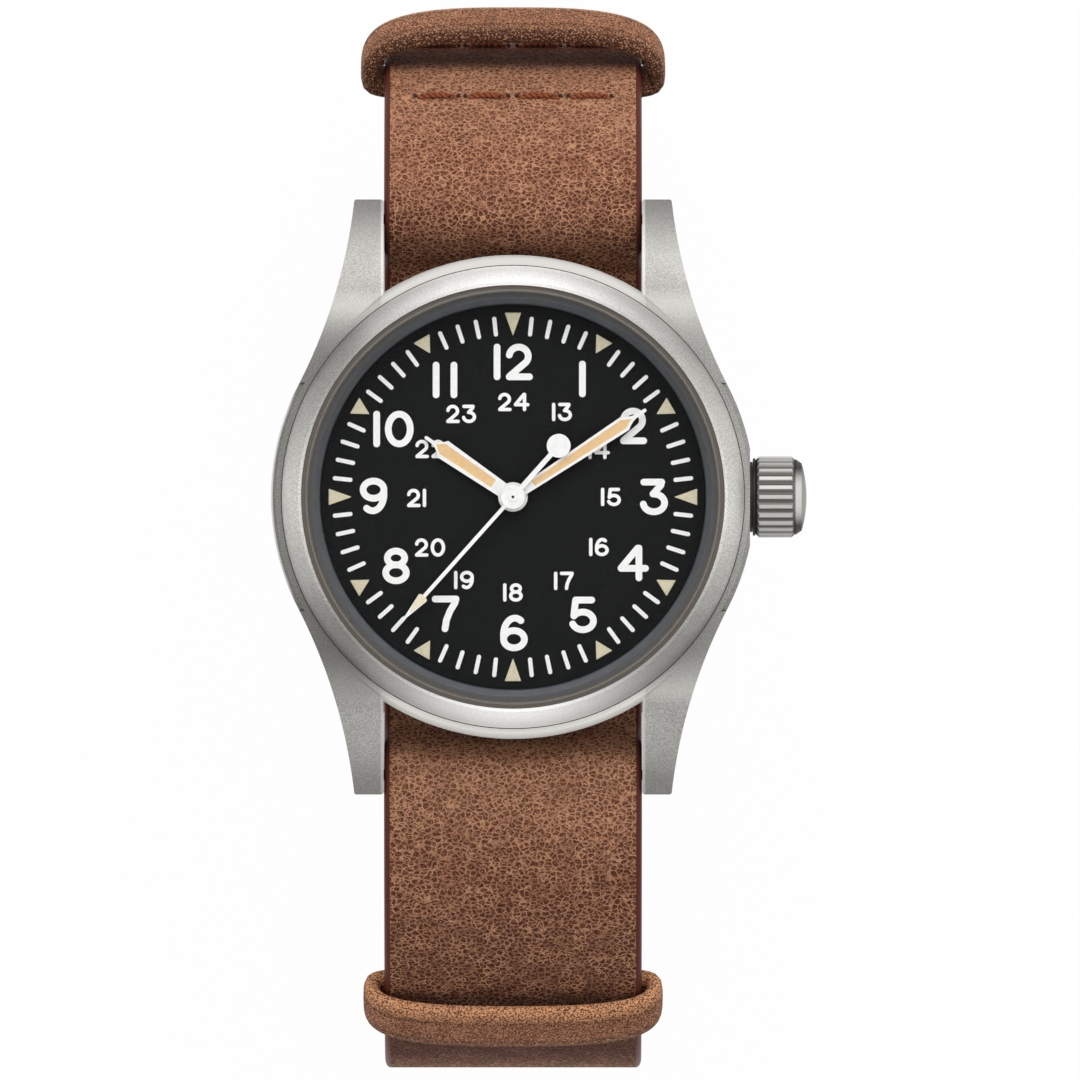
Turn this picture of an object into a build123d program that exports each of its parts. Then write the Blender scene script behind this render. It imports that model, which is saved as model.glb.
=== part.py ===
from build123d import *
import math
import os

# Field watch on a closed leather strap, in millimetres. The dial axis is Z, +Y points to twelve
# and +X to three, where the crown is. The strap's outermost ply rests on Z = 0 under the dial.
# Heights inside the watch head count from the case back's outer face, which is at head_lift.

# Strap
strap_width = 20.2
strap_thick = 1.4
ply_gap = 0.1
bar_play = 0.05
head_lift = 47.0  # from the floor to the case back's outer face
under_case_gap = 0.15
exit_angle_12 = 27.0  # slope of the strap where it leaves each spring bar
exit_angle_6 = 6.2
side_radius_12 = 27.0  # outer face of the strap as it turns down from each bar
side_radius_6 = 26.0
tuck_radius = 2.45  # bend of the strap under the case's edge
tuck_y = 16.9
flap_length = 6.0
flap_bend = 3.0
tail_turn = 72.0
tail_tip = 1.0
tail_point = 5.0
tail_slope = 10.0
hole_pitch = 6.5
holes_to_tail = 3
holes_to_case = 2
hole_r = 0.9
tongue_slot_length = 5.6

# Keepers
keeper_thick = 1.4
keeper_band = 4.0
upper_keeper_side = 1.95
upper_keeper_width = strap_width + 2 * upper_keeper_side
upper_keeper_height = 6.7
upper_keeper_round = 4.2
upper_keeper_y = 34.6
lower_keeper_side = 1.75
lower_keeper_width = strap_width + 2 * lower_keeper_side
lower_keeper_height = 5.4
lower_keeper_round = 3.0
lower_keeper_y = 40.4
keeper_back_round = 1.9
tail_keeper_thick = 1.0
tail_keeper_band = 3.0
tail_keeper_side = 1.3
tail_keeper_width = strap_width + 2 * tail_keeper_side
tail_keeper_round = 1.3
tail_keeper_angle = 60.0
tail_keeper_play = 0.15
under_strap_end = 5.2
seat_gap = 0.05

# Buckle
buckle_y = -3.4  # hinge pin of the buckle
buckle_reach = 13.0  # from the pin to the crossbar that the tongue rests on
frame_wire = 1.8
frame_side = 1.5
frame_side_gap = 0.5
frame_corner = 2.4
frame_eye_r = 1.55
pin_r = 0.75
pin_play = 0.04
pin_head_r = 1.1
pin_head = 0.6
tongue_thick = 1.0
tongue_width = 1.8
tongue_play = 0.3
tongue_eye_wall = 0.7
tongue_first_run = 5.2
tongue_first_slope = 8.0
tongue_drop_slope = 34.0
tongue_bend = 1.0
tongue_overhang = 0.35

# Spring bars and lugs
bar_r = 0.75
bar_y = 21.9
bar_height = 1.6
bar_end_gap = 0.1
tip_r = 0.4
tip_out = 0.9
tip_in = 2.4
tip_travel = 0.8
tip_clearance = 0.06
strap_side_gap = 0.1
lug_gap = strap_width + 2 * strap_side_gap
lug_tip_y = 23.45
lug_tip_width = 2.3
lug_tip_x = lug_gap / 2 + lug_tip_width
lug_waist_width = 3.7
lug_waist_x = lug_gap / 2 + lug_waist_width
lug_waist_y = 16.3
lug_root_angle = 28.0
lug_tip_top = 3.4
lug_foot = 0.3
lug_root_foot = 1.3
lug_slope_y = 13.0
lug_edge = 0.2
case_edge = 0.35

# Case
case_r = 19.05
case_foot_r = 18.2
case_foot = 0.9
case_waist = 2.8
case_rim = 7.0
case_bore_r = 15.9
case_lip = 0.2
case_lip_r = case_bore_r - case_lip
neck_wall = 0.6
neck_r = case_bore_r + neck_wall
neck_height = 0.7
lip_thick = 0.4
bezel_r = 18.2
bezel_height = 1.9
gasket_wall = 0.32
bezel_land = 0.25
bezel_bulge = 0.12
crystal_r = 16.35
bezel_bore_r = crystal_r + gasket_wall
crystal_thick = 1.5
crystal_chamfer = 0.35
gasket_foot = 0.2
gasket_wall_height = 1.0
fit_gap = 0.02
crown_flat_x = 18.66
crown_flat_half = 3.7

# Case back
back_r = 17.2
back_plate = 0.9
back_boss_wall = 1.1
back_boss_top = 2.5
back_slots = 6
back_slot_width = 1.6
back_slot_depth = 0.5
back_slot_reach = 1.2
back_gasket_r = 16.2
back_gasket_width = 0.4
back_gasket_thick = 0.35

# Dial and flange ring
dial_side_gap = 0.2
dial_r = case_bore_r - dial_side_gap
dial_base = 5.65
dial_thick = 0.4
dial_hole_r = 1.06
dial_foot_r = 0.35
dial_foot_drop = 0.7
dial_foot_place = 11.0
dial_foot_angle = 132.0
flange_side_gap = 0.05
flange_r = case_bore_r - flange_side_gap
flange_foot_width = 0.77
flange_inner_r = flange_r - flange_foot_width
flange_top_width = 0.19
flange_top_r = flange_r - flange_top_width

# Hands, which show nine minutes and 37 seconds past ten
hand_thick = 0.15
hand_neck_share = 0.53
hand_hollow_share = 0.3
spike_half = 0.14
hour_hand_z = 6.35
hour_hand_angle = 304.3
hour_length = 8.4
hour_shoulder = 6.7
hour_half_width = 0.77
hour_root_half = 0.56
hour_hub_r = 1.16
hour_window = (1.85, 0.36, 6.7, 0.46, 7.35)  # start, half width, shoulder, half width, point
minute_hand_z = 6.72
minute_hand_angle = 56.7
minute_length = 12.55
minute_shoulder = 10.55
minute_half_width = 0.61
minute_root_half = 0.38
minute_hub_r = 0.86
minute_window = (1.9, 0.23, 10.4, 0.38, 11.2)
seconds_hand_z = 7.1
seconds_hand_angle = 221.8
seconds_length = 12.95
seconds_hub_r = 0.6
seconds_half_width = 0.15
seconds_tip_half = 0.05
arrow_start = 10.6
arrow_half_width = 0.42
tail_disc_place = 5.4
tail_disc_r = 0.94
tail_arm_half = 0.2
seconds_pipe_r = 0.36
seconds_pipe = 0.12

# Crown, tube and stem
crown_axis = 3.95
crown_r = 3.2
crown_in_x = 18.9
crown_skirt = 0.2
crown_skirt_step = 0.15
crown_skirt_r = crown_r - crown_skirt_step
crown_flute_length = 3.15
crown_flutes = 26
flute_r = 0.26
flute_sink = 0.08
crown_chamfer = 0.3
crown_collar_step = 0.2
crown_collar_r = crown_r - crown_collar_step
crown_collar_taper = 0.35
crown_collar_end_r = crown_collar_r - crown_collar_taper
crown_collar = 0.5
crown_dome = 0.38
crown_bore_r = 1.5
crown_bore_depth = 1.7
tube_r = 0.97
tube_bore_r = 0.6
tube_end_gap = 0.2
oring_length = 0.5
oring_inset = 0.15
stem_r = 0.5
stem_square = 0.68
stem_pilot_r = 0.3
stem_pilot_x = 6.9
stem_square_x = 8.4
stem_in_crown = 0.9
stem_groove_x = 11.55
stem_groove_width = 0.5
stem_groove_r = 0.36
holder_side_gap = 0.1
holder_r = case_bore_r - holder_side_gap
holder_bore_gap = 0.05
holder_base = 2.55
holder_stem_gap = 0.2

# Movement frame
plate_r = 12.8
plate_low = 4.3
plate_web = 4.8
bridge_low = 2.2
bridge_high = 2.8
bridge_r = 12.5
pillar_r = 0.9
screw_r = 0.4
screw_head_r = 0.72
screw_head = 0.25
screw_gap = 0.03
screw_end = 4.7
driver_slot = 0.16
driver_slot_depth = 0.1
cock_low = 1.98
cock_high = 2.36
cock_half = 1.2
cock_foot = (-6.2, -9.2)
pallet_bridge_low = 3.15
pallet_bridge_high = 3.3
pallet_bridge_half = 0.65
pallet_foot_r = 0.6
pallet_screw_r = 0.25
barrel_pillars = [(10.4, 4.2), (-2.6, 10.8), (10.6, -3.2)]
train_pillars = [(-11.0, 1.0), (-9.6, -5.2)]
pallet_feet = [(-2.4, -6.2), (2.6, -4.2)]
split_line = [(-6.2, 12.0), (-2.9, 8.8), (1.3, 4.2), (2.8, 0.6), (4.8, -2.4), (7.6, -5.0)]
barrel_side_corners = [(16.0, -6.2), (16.0, 16.0), (-6.2, 16.0)]
train_side_corners = [(-4.0, -6.4), (-13.0, -8.0), (-16.0, -8.0), (-16.0, 16.0), (-6.2, 16.0)]
split_gap = 0.2
balance_room = 0.4
block_x = 11.2
block_low = 3.1
block_half = 2.0
pilot_block_low = 3.4
pilot_block_half = 0.8
centre_tube_r = 0.5
centre_tube_bore = 0.26
centre_tube_top = 6.1
motion_recess_r = 4.75
wheel_room = 0.2
keyless_recess_start = 8.0
keyless_recess_y = (-1.7, 4.5)
jewel_r = 0.5
jewel_thick = 0.28
pivot_r = 0.1
pivot_gap = 0.02
arbor_r = 0.2
shoulder_gap = 0.02
overrun = 1.0

# Wheel train: teeth, modules and heights
tooth_root_share = 0.6
tooth_tip_share = 0.22
addendum_share = 0.9
dedendum_share = 1.25
rim_share = 0.84
spoke_half = 0.22
wheel_hub_r = 0.7
wheel_thick = 0.13
fourth_teeth, fourth_module, fourth_low = 84, 0.0655, 2.9
escape_pinion_teeth = 7
escape_pinion_heights = (2.86, 3.06)
third_teeth, third_module, third_low = 75, 0.0941, 3.2
fourth_pinion_teeth = 10
fourth_pinion_heights = (3.1, 3.45)
great_teeth, great_module, great_low = 80, 0.09, 4.05
third_pinion_teeth = 10
third_pinion_heights = (3.95, 4.22)
barrel_teeth, barrel_module = 84, 0.1083
great_pinion_teeth = 12
great_pinion_heights = (3.5, 4.05)
driving_teeth, driving_pinion_teeth = 64, 8
driving_heights = (4.85, 4.97)
driving_pinion_heights = (4.82, 5.0)
cannon_teeth, minute_teeth, cannon_module = 12, 36, 0.175
cannon_heights = (5.05, 5.23)
minute_heights = (5.08, 5.2)
minute_pinion_teeth, hour_teeth, hour_module = 10, 40, 0.168
minute_pinion_top = 5.45
hour_heights = (5.28, 5.4)
setting_teeth = 14
stud_r = 0.3
stud_gap = 0.02
stud_top = 5.5
cannon_tube_r = 0.68
hour_tube_r = 0.92
tube_gap = 0.02
barrel_place = 7.6
train_turn = 94.0
escape_angle = 250.0
pallet_angle = -60.0
pallet_distance = 2.65
balance_distance = 3.0
minute_wheel_angle = -35.0
crown_wheel_teeth, winding_teeth, ratchet_teeth, winding_module = 34, 20, 72, 0.135

# Barrel and winding wheels
drum_low, drum_high, drum_teeth_low = 2.95, 3.9, 3.6
drum_r = 4.25
drum_wall = 0.25
drum_floor = 0.18
cover_thick = 0.12
barrel_hub_r = 1.0
barrel_pivot_r = 0.5
barrel_gap = 0.03
barrel_square = 0.66
spring_thick = 0.12
spring_turns = 6
spring_gap = 0.05
ratchet_heights = (1.9, 2.15)
ratchet_screw_r = 1.1
ratchet_screw_head = 0.22
ratchet_screw_shank_r = 0.2
ratchet_screw_end = 2.6
crown_wheel_heights = (1.9, 2.42)
crown_core_r = 0.6
crown_wheel_x = 8.4
crown_recess = 2.5
click_pivot = (-0.7, 9.4)
click_stud_r = 0.25
click_half = 0.4
click_nose_gap = 0.08
click_lead = 12.7

# Escapement and balance
escape_wheel_teeth = 15
escape_r = 1.95
escape_root_share = 0.78
escape_rake_share = 0.45
escape_low = 3.42
fork_low = 3.42
fork_thick = 0.14
fork_half = 0.13
fork_hub_r = 0.35
fork_tip = 2.2
fork_head_half = 0.26
fork_notch_half = 0.12
fork_notch = 0.3
pallet_u = 0.8
pallet_v = 1.3
pallet_stone_half = 0.08
pallet_stone_length = 0.28
balance_r = 4.3
balance_rim = 0.4
balance_low, balance_high = 2.75, 3.05
balance_arm_half = 0.25
balance_hub_r = 0.5
roller_r = 0.8
roller_heights = (3.64, 3.76)
impulse_place = 0.6
impulse_r = 0.09
impulse_low = 3.45
hairspring_heights = (2.45, 2.6)
hairspring_thick = 0.06
hairspring_start = 0.6
hairspring_pitch = 0.22
hairspring_turns = 7

# Setting work
winding_pinion_x = (10.3, 11.1)
sliding_pinion_x = (9.0, 10.2)
sliding_r = 1.3
sliding_groove_r = 0.85
sliding_groove = 0.45
sliding_travel = 0.5
pinion_slot_half = 1.55
pinion_slot_gap = 0.1
lever_heights = (4.86, 5.1)
lever_pivot = (11.9, 2.3)
lever_half = 0.35
lever_pin_r = 0.17
lever_pin_low = 4.34
lever_slot_half = 0.35
yoke_pivot_y = 3.6
yoke_half = 0.14
yoke_end = 0.2
yoke_eye_r = 0.5

# Places and heights that follow from the sizes above
half_ply = strap_thick / 2
wrap_r = bar_r + bar_play + half_ply
bar_z = head_lift + bar_height
crown_z = head_lift + crown_axis
dial_top = dial_base + dial_thick
bezel_top = case_rim + bezel_height
crystal_low = case_rim + neck_height + gasket_foot
drum_inner_r = drum_r - drum_wall
sliding_middle = (sliding_pinion_x[0] + sliding_pinion_x[1]) / 2

os.makedirs("parts", exist_ok=True)


def polar(radius, angle, centre=(0, 0)):
    """The point at a distance and an angle in degrees from a centre."""
    turn = math.radians(angle)
    return (centre[0] + radius * math.cos(turn), centre[1] + radius * math.sin(turn))


def bearing(start, end):
    """The direction from one point to another, in degrees."""
    return math.degrees(math.atan2(end[1] - start[1], end[0] - start[0]))


def span(start, end):
    """How far two points are apart."""
    return math.hypot(end[0] - start[0], end[1] - start[1])


def level(height):
    """The plane at a height above the case back's outer face."""
    return Plane.XY.offset(head_lift + height)


stem_plane = Plane(origin=(0, 0, crown_z), x_dir=(0, 1, 0), z_dir=(1, 0, 0))


def disc(centre, radius, low, high, mode=Mode.ADD):
    """A round step about an upright axis, between two heights in the head."""
    with Locations((centre[0], centre[1], head_lift + low)):
        Cylinder(radius, high - low, align=(Align.CENTER, Align.CENTER, Align.MIN), mode=mode)


def ring(centre, outer_r, inner_r, low, high):
    """A plain ring between two heights in the head."""
    with BuildSketch(level(low)) as outline:
        with Locations(centre):
            Circle(outer_r)
            Circle(inner_r, mode=Mode.SUBTRACT)
    extrude(outline.sketch, amount=high - low)


def lying(x_low, x_high, radius, mode=Mode.ADD):
    """A round step on the stem's axis, between two places along X."""
    with Locations(Location((x_low, 0, crown_z), (0, 90, 0))):
        Cylinder(radius, x_high - x_low, align=(Align.CENTER, Align.CENTER, Align.MIN), mode=mode)


def slab(x_range, y_range, heights, mode=Mode.ADD):
    """A plain block in the head, given by its ranges along the three axes."""
    with Locations((x_range[0], y_range[0], head_lift + heights[0])):
        Box(x_range[1] - x_range[0], y_range[1] - y_range[0], heights[1] - heights[0],
            align=(Align.MIN, Align.MIN, Align.MIN), mode=mode)


def turned(points, mode=Mode.ADD):
    """A body of revolution about the dial's axis from corners (radius, height in the head)."""
    with BuildSketch(Plane.XZ) as outline:
        with BuildLine():
            Polyline(*[(radius, head_lift + height) for radius, height in points], close=True)
        make_face()
    revolve(outline.sketch, axis=Axis.Z, mode=mode)


def tooth_points(centre, teeth, module, phase):
    """The corners of a toothed outline that has a tooth centred on the phase angle."""
    pitch_r = teeth * module / 2
    tip = pitch_r + addendum_share * module
    root = pitch_r - dedendum_share * module
    step = 360 / teeth
    points = []
    for tooth in range(teeth):
        angle = phase + tooth * step
        for radius, share in ((root, -tooth_root_share), (tip, -tooth_tip_share),
                              (tip, tooth_tip_share), (root, tooth_root_share)):
            points.append(polar(radius, angle + share * step / 2, centre))
    return points


def toothed(centre, teeth, module, heights, phase):
    """A toothed disc between two heights in the head."""
    with BuildSketch(level(heights[0])) as outline:
        Polygon(*tooth_points(centre, teeth, module, phase), align=None)
    extrude(outline.sketch, amount=heights[1] - heights[0])


def spokes_cut(centre, pitch_r, low, spokes=4, hub=wheel_hub_r):
    """Opens a wheel between its hub and its rim, leaving straight spokes."""
    with BuildSketch(level(low)) as window:
        with Locations(centre):
            Circle(rim_share * pitch_r)
            Circle(hub, mode=Mode.SUBTRACT)
            with PolarLocations(0, spokes):
                Rectangle(2 * pitch_r, 2 * spoke_half, mode=Mode.SUBTRACT)
    extrude(window.sketch, amount=wheel_thick, mode=Mode.SUBTRACT)


def pivoted(centre, low, high, low_pivot=True, high_pivot=True):
    """An upright arbor with a thin pivot at each end that runs in a jewel."""
    reach = jewel_thick - 2 * shoulder_gap
    disc(centre, arbor_r, low + shoulder_gap, high - shoulder_gap)
    if low_pivot:
        disc(centre, pivot_r, low - reach, low + shoulder_gap)
    if high_pivot:
        disc(centre, pivot_r, high - shoulder_gap, high + reach)


def save(sub_part, label):
    """Labels a finished piece and writes its file."""
    sub_part.part.label = label
    export_step(sub_part.part, f"parts/{label}.step")


# Wheel places, each from the one before it
origin = (0, 0)
stem_point = (crown_wheel_x, 0)
third_distance = (third_teeth + fourth_pinion_teeth) * third_module / 2
ratchet_distance = (crown_wheel_teeth + ratchet_teeth) * winding_module / 2
barrel_cosine = ((barrel_place ** 2 + crown_wheel_x ** 2 - ratchet_distance ** 2)
                 / (2 * barrel_place * crown_wheel_x))
barrel_centre = polar(barrel_place, math.degrees(math.acos(barrel_cosine)))
third_centre = polar(third_distance, bearing(origin, barrel_centre) + train_turn)
great_from_barrel = (barrel_teeth + great_pinion_teeth) * barrel_module / 2
great_from_third = (great_teeth + third_pinion_teeth) * great_module / 2
barrel_to_third = span(barrel_centre, third_centre)
great_cosine = ((great_from_barrel ** 2 + barrel_to_third ** 2 - great_from_third ** 2)
                / (2 * great_from_barrel * barrel_to_third))
great_turn = math.degrees(math.acos(great_cosine))
great_centre = polar(great_from_barrel, bearing(barrel_centre, third_centre) - great_turn,
                     barrel_centre)
escape_distance = (fourth_teeth + escape_pinion_teeth) * fourth_module / 2
escape_centre = polar(escape_distance, escape_angle)
pallet_centre = polar(pallet_distance, pallet_angle, escape_centre)
balance_centre = polar(balance_distance, pallet_angle, pallet_centre)
motion_distance = (cannon_teeth + minute_teeth) * cannon_module / 2
minute_wheel_centre = polar(motion_distance, minute_wheel_angle)
setting_distance = (minute_teeth + setting_teeth) * cannon_module / 2
setting_reach = math.sqrt(setting_distance ** 2 - minute_wheel_centre[1] ** 2)
setting_centre = (minute_wheel_centre[0] + setting_reach, 0)
driving_module = 2 * third_distance / (driving_teeth + driving_pinion_teeth)


def gap_phase(teeth, wheel, other):
    """The phase that puts a gap of a wheel at its neighbour's tooth."""
    return bearing(wheel, other) + 180 / teeth


# The strap's middle line is a chain of steps, each a run (length, 0) or a bend (radius, turn)
def direction(angle):
    """A unit step along a heading in the Y-Z plane."""
    return Vector(math.cos(math.radians(angle)), math.sin(math.radians(angle)))


def left_of(angle):
    """A unit step to the left of a heading."""
    return direction(angle + 90)


def along(place, angle, step, share):
    """The point and heading a share of the way along one step."""
    size, turn = step
    if turn == 0:
        return place + direction(angle) * (size * share), angle
    side = math.copysign(size, turn)
    centre = place + left_of(angle) * side
    heading = angle + turn * share
    return centre - left_of(heading) * side, heading


def stations(start, heading, steps):
    """The start, middle and end of each step, each as a point and a heading."""
    place, angle, rows = Vector(*start), heading, []
    for step in steps:
        row = [along(place, angle, step, share) for share in (0, 1 / 2, 1)]
        rows.append((step[1], row))
        place, angle = row[-1]
    return rows


def ribbon_side(rows, offset):
    """One long edge of a band's side view, beside its middle line."""
    for turn, row in rows:
        points = [place + left_of(angle) * offset for place, angle in row]
        if turn == 0:
            Line(points[0], points[2])
        else:
            ThreePointArc(*points)


def ribbon_end(place, angle, thickness):
    """The short edge that closes a band's side view."""
    across = left_of(angle) * (thickness / 2)
    Line(place + across, place - across)


def ribbon(rows, thickness, width, plane=Plane.YZ, both=True):
    """A band of even thickness and width along its middle line."""
    with BuildSketch(plane) as side_view:
        with BuildLine():
            ribbon_side(rows, thickness / 2)
            ribbon_side(rows, -thickness / 2)
            ribbon_end(*rows[0][1][0], thickness)
            ribbon_end(*rows[-1][1][2], thickness)
        make_face()
    extrude(side_view.sketch, amount=width / 2 if both else width, both=both)


def spiral(centre, start_r, growth, half_turns, thickness, heights):
    """A flat coil of half-turn arcs that grow by the same step each time."""
    rows = stations((centre[0] + start_r, centre[1]), 90,
                    [(start_r + turn * growth, 180) for turn in range(half_turns)])
    ribbon(rows, thickness, heights[1] - heights[0], level(heights[0]), both=False)


def bend_plane(centre, radius, angle):
    """A plane across a bend of the strap: its Y points away from the bend's centre."""
    out = direction(angle)
    place = Vector(*centre) + out * radius
    return Plane(origin=(0, place.X, place.Y), x_dir=(1, 0, 0), z_dir=(0, -out.Y, out.X))


def loop(centre, base_r, angle, width, height, rounds, thick, band):
    """A leather loop that follows a bend of the strap, its back at the base radius."""
    half = math.degrees(band / 2 / base_r)
    with BuildSketch(bend_plane(centre, base_r, angle - half)) as section:
        Rectangle(width, height, align=(Align.CENTER, Align.MIN))
        fillet(section.vertices().group_by(Axis.Y)[-1], radius=rounds[1])
        fillet(section.vertices().group_by(Axis.Y)[0], radius=rounds[0])
        offset(amount=-thick, kind=Kind.INTERSECTION, mode=Mode.SUBTRACT)
    hinge = Axis((0, centre[0], centre[1]), (1, 0, 0))
    revolve(section.sketch, axis=hinge, revolution_arc=2 * half)


# Places that the strap's bends take from the case, the bars and the floor
tuck_z = head_lift - under_case_gap - half_ply + tuck_radius
tuck_span = bar_y - tuck_y
tuck_rise = bar_z - tuck_z
tuck_reach = math.hypot(tuck_span, tuck_rise)
tuck_slope = math.degrees(math.asin((tuck_radius + wrap_r) / tuck_reach)
                          + math.atan2(tuck_rise, tuck_span))
tuck_run = math.sqrt(tuck_reach ** 2 - (tuck_radius + wrap_r) ** 2)
tail_mid = half_ply
main_mid = tail_mid + strap_thick + ply_gap
buckle_z = main_mid + pin_r + bar_play + half_ply
buckle_wrap = buckle_z - main_mid
crossbar_y = buckle_y - buckle_reach
bar_ply_mid = frame_wire + ply_gap + half_ply


def side_centre(exit_angle, radius, side):
    """The centre of the strap's bend beside the wrist, on one side of the case."""
    reach = radius - half_ply - wrap_r
    slope = math.radians(exit_angle)
    return (side * (bar_y - reach * math.sin(slope)), bar_z - reach * math.cos(slope))


centre_12 = side_centre(exit_angle_12, side_radius_12, 1)
centre_6 = side_centre(exit_angle_6, side_radius_6, -1)
upper_12 = side_radius_12 - half_ply
upper_6 = side_radius_6 - half_ply
lower_12 = centre_12[1] - main_mid
lower_6 = centre_6[1] - bar_ply_mid
floor_12_y = centre_12[0] + upper_12 - lower_12
floor_6_y = centre_6[0] - upper_6 + lower_6
flap_rise = 2 * buckle_wrap - strap_thick - seat_gap
flap_turn = math.degrees(math.acos(1 - flap_rise / (2 * flap_bend)))
flap_bend_run = 2 * flap_bend * math.sin(math.radians(flap_turn))
flap_start = (buckle_y + flap_bend_run + flap_length, main_mid + strap_thick + seat_gap)
slope_start_y = crossbar_y + frame_wire / 2
slope_angle = math.radians(tail_slope)
slope_run = ((bar_ply_mid - tail_mid) / math.sin(slope_angle)
             - 2 * tuck_radius * math.tan(slope_angle / 2))
slope_reach = slope_run * math.cos(slope_angle) + 2 * tuck_radius * math.sin(slope_angle)
long_steps = [
    (flap_length, 0),
    (flap_bend, -flap_turn),
    (flap_bend, flap_turn),
    (buckle_wrap, 180),
    (floor_12_y - buckle_y, 0),
    (lower_12, 90),
    (upper_12, 90 - exit_angle_12),
    (wrap_r, exit_angle_12 + tuck_slope),
    (tuck_run, 0),
    (tuck_radius, -tuck_slope),
    (2 * tuck_y, 0),
    (tuck_radius, -tuck_slope),
    (tuck_run, 0),
    (wrap_r, exit_angle_6 + tuck_slope),
    (upper_6, 90 - exit_angle_6),
    (lower_6, 90),
    (slope_start_y - floor_6_y, 0),
    (tuck_radius, -tail_slope),
    (slope_run, 0),
    (tuck_radius, tail_slope),
    (floor_12_y - slope_start_y - slope_reach, 0),
    (lower_12 + main_mid - tail_mid, tail_turn),
    (tail_tip, 0),
]
long_rows = stations(flap_start, 180, long_steps)
tip_place, tip_heading = long_rows[-1][1][2]
slot_y = slope_start_y + slope_reach / 2 - tuck_radius * math.sin(slope_angle / 2)
eye_r = pin_r + pin_play + tongue_eye_wall
slot_half = tongue_width / 2 + tongue_play

with BuildPart() as strap_long:
    ribbon(long_rows, strap_thick, strap_width)
    # The tail ends in a blunt point
    with BuildSketch(Plane(origin=(0, tip_place.X, tip_place.Y), x_dir=(1, 0, 0),
                           z_dir=(0, -math.sin(math.radians(tip_heading)),
                                  math.cos(math.radians(tip_heading))))) as tip_cut:
        for side in (1, -1):
            with BuildLine():
                Polyline((side * strap_width / 2, -tail_point), (side * strap_width, -tail_point),
                         (side * strap_width, overrun), (side * tail_point / 2, overrun),
                         (side * tail_point / 2, 0), close=True)
            make_face()
    extrude(tip_cut.sketch, amount=strap_thick, both=True, mode=Mode.SUBTRACT)
    # The tongue's slot, the round holes on each side of it, and the cut that frees its eye
    for place in range(-holes_to_case, holes_to_tail + 1):
        hole_y = slot_y + place * hole_pitch
        top = bar_ply_mid + strap_thick if place <= 0 else main_mid - half_ply - ply_gap / 2
        with BuildSketch(Plane.XY.offset(-overrun)) as hole:
            with Locations((0, hole_y)):
                if place == 0:
                    SlotOverall(tongue_slot_length, 2 * slot_half, rotation=90)
                else:
                    Circle(hole_r)
        extrude(hole.sketch, amount=overrun + top, mode=Mode.SUBTRACT)
    fold_low = main_mid - half_ply - ply_gap / 2
    with Locations((0, buckle_y - eye_r - strap_thick, fold_low)):
        Box(2 * slot_half, 2 * (eye_r + tongue_play) + strap_thick - tongue_play,
            2 * (buckle_wrap + strap_thick), align=(Align.CENTER, Align.MIN, Align.MIN),
            mode=Mode.SUBTRACT)
save(strap_long, "strap_long")

# The short under-strap holds the head down and carries the two outer loops
under_12_r = upper_12 - strap_thick - keeper_thick - 2 * seat_gap
under_6_r = upper_6 - strap_thick - keeper_thick - 2 * seat_gap
upper_loop_angle = math.degrees(math.acos((upper_keeper_y - centre_12[0]) / side_radius_12))
lower_loop_angle = 180 - math.degrees(math.acos((lower_keeper_y + centre_6[0]) / side_radius_6))
under_mid = head_lift - under_case_gap - strap_thick - ply_gap - half_ply


def under_bend(centre, radius, switch_angle):
    """The radius of the tighter bend that brings the under-strap level beneath the case."""
    rise = math.sin(math.radians(switch_angle))
    return (under_mid - centre[1] - radius * rise) / (1 - rise)


bend_12 = under_bend(centre_12, under_12_r, upper_loop_angle)
bend_6 = under_bend(centre_6, under_6_r, 180 - lower_loop_angle)
bend_12_y = centre_12[0] + (under_12_r - bend_12) * math.cos(math.radians(upper_loop_angle))
bend_6_y = centre_6[0] + (under_6_r - bend_6) * math.cos(math.radians(lower_loop_angle))
under_start_angle = upper_loop_angle - math.degrees(under_strap_end / under_12_r)
under_start = Vector(*centre_12) + direction(under_start_angle) * under_12_r

with BuildPart() as strap_short:
    ribbon(stations((under_start.X, under_start.Y), under_start_angle + 90, [
        (under_12_r, upper_loop_angle - under_start_angle),
        (bend_12, 90 - upper_loop_angle),
        (bend_12_y - bend_6_y, 0),
        (bend_6, lower_loop_angle - 90),
        (under_6_r, math.degrees(under_strap_end / under_6_r)),
    ]), strap_thick, strap_width)
save(strap_short, "strap_short")

with BuildPart() as upper_keeper:
    loop(centre_12, under_12_r + half_ply + seat_gap, upper_loop_angle, upper_keeper_width,
         upper_keeper_height, (keeper_back_round, upper_keeper_round), keeper_thick, keeper_band)
save(upper_keeper, "upper_keeper")

with BuildPart() as lower_keeper:
    loop(centre_6, under_6_r + half_ply + seat_gap, lower_loop_angle, lower_keeper_width,
         lower_keeper_height, (keeper_back_round, lower_keeper_round), keeper_thick, keeper_band)
save(lower_keeper, "lower_keeper")

# The free loop slides along both plies near the strap's tip
tail_bend = (floor_12_y, centre_12[1])
tail_loop_height = 2 * tail_keeper_thick + 2 * tail_keeper_play + 2 * strap_thick + ply_gap
with BuildPart() as tail_keeper:
    loop(tail_bend, lower_12 - half_ply - tail_keeper_play - tail_keeper_thick,
         tail_keeper_angle - 90, tail_keeper_width, tail_loop_height,
         (tail_keeper_round, tail_keeper_round), tail_keeper_thick, tail_keeper_band)
save(tail_keeper, "tail_keeper")

# Buckle: the frame turns on its pin and the tongue rests on the frame's crossbar
rail_in = strap_width / 2 + frame_side_gap
rail_out = rail_in + frame_side
frame_end_y = crossbar_y - frame_wire / 2
pin_axis = Location((0, buckle_y, buckle_z), (0, 90, 0))

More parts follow.
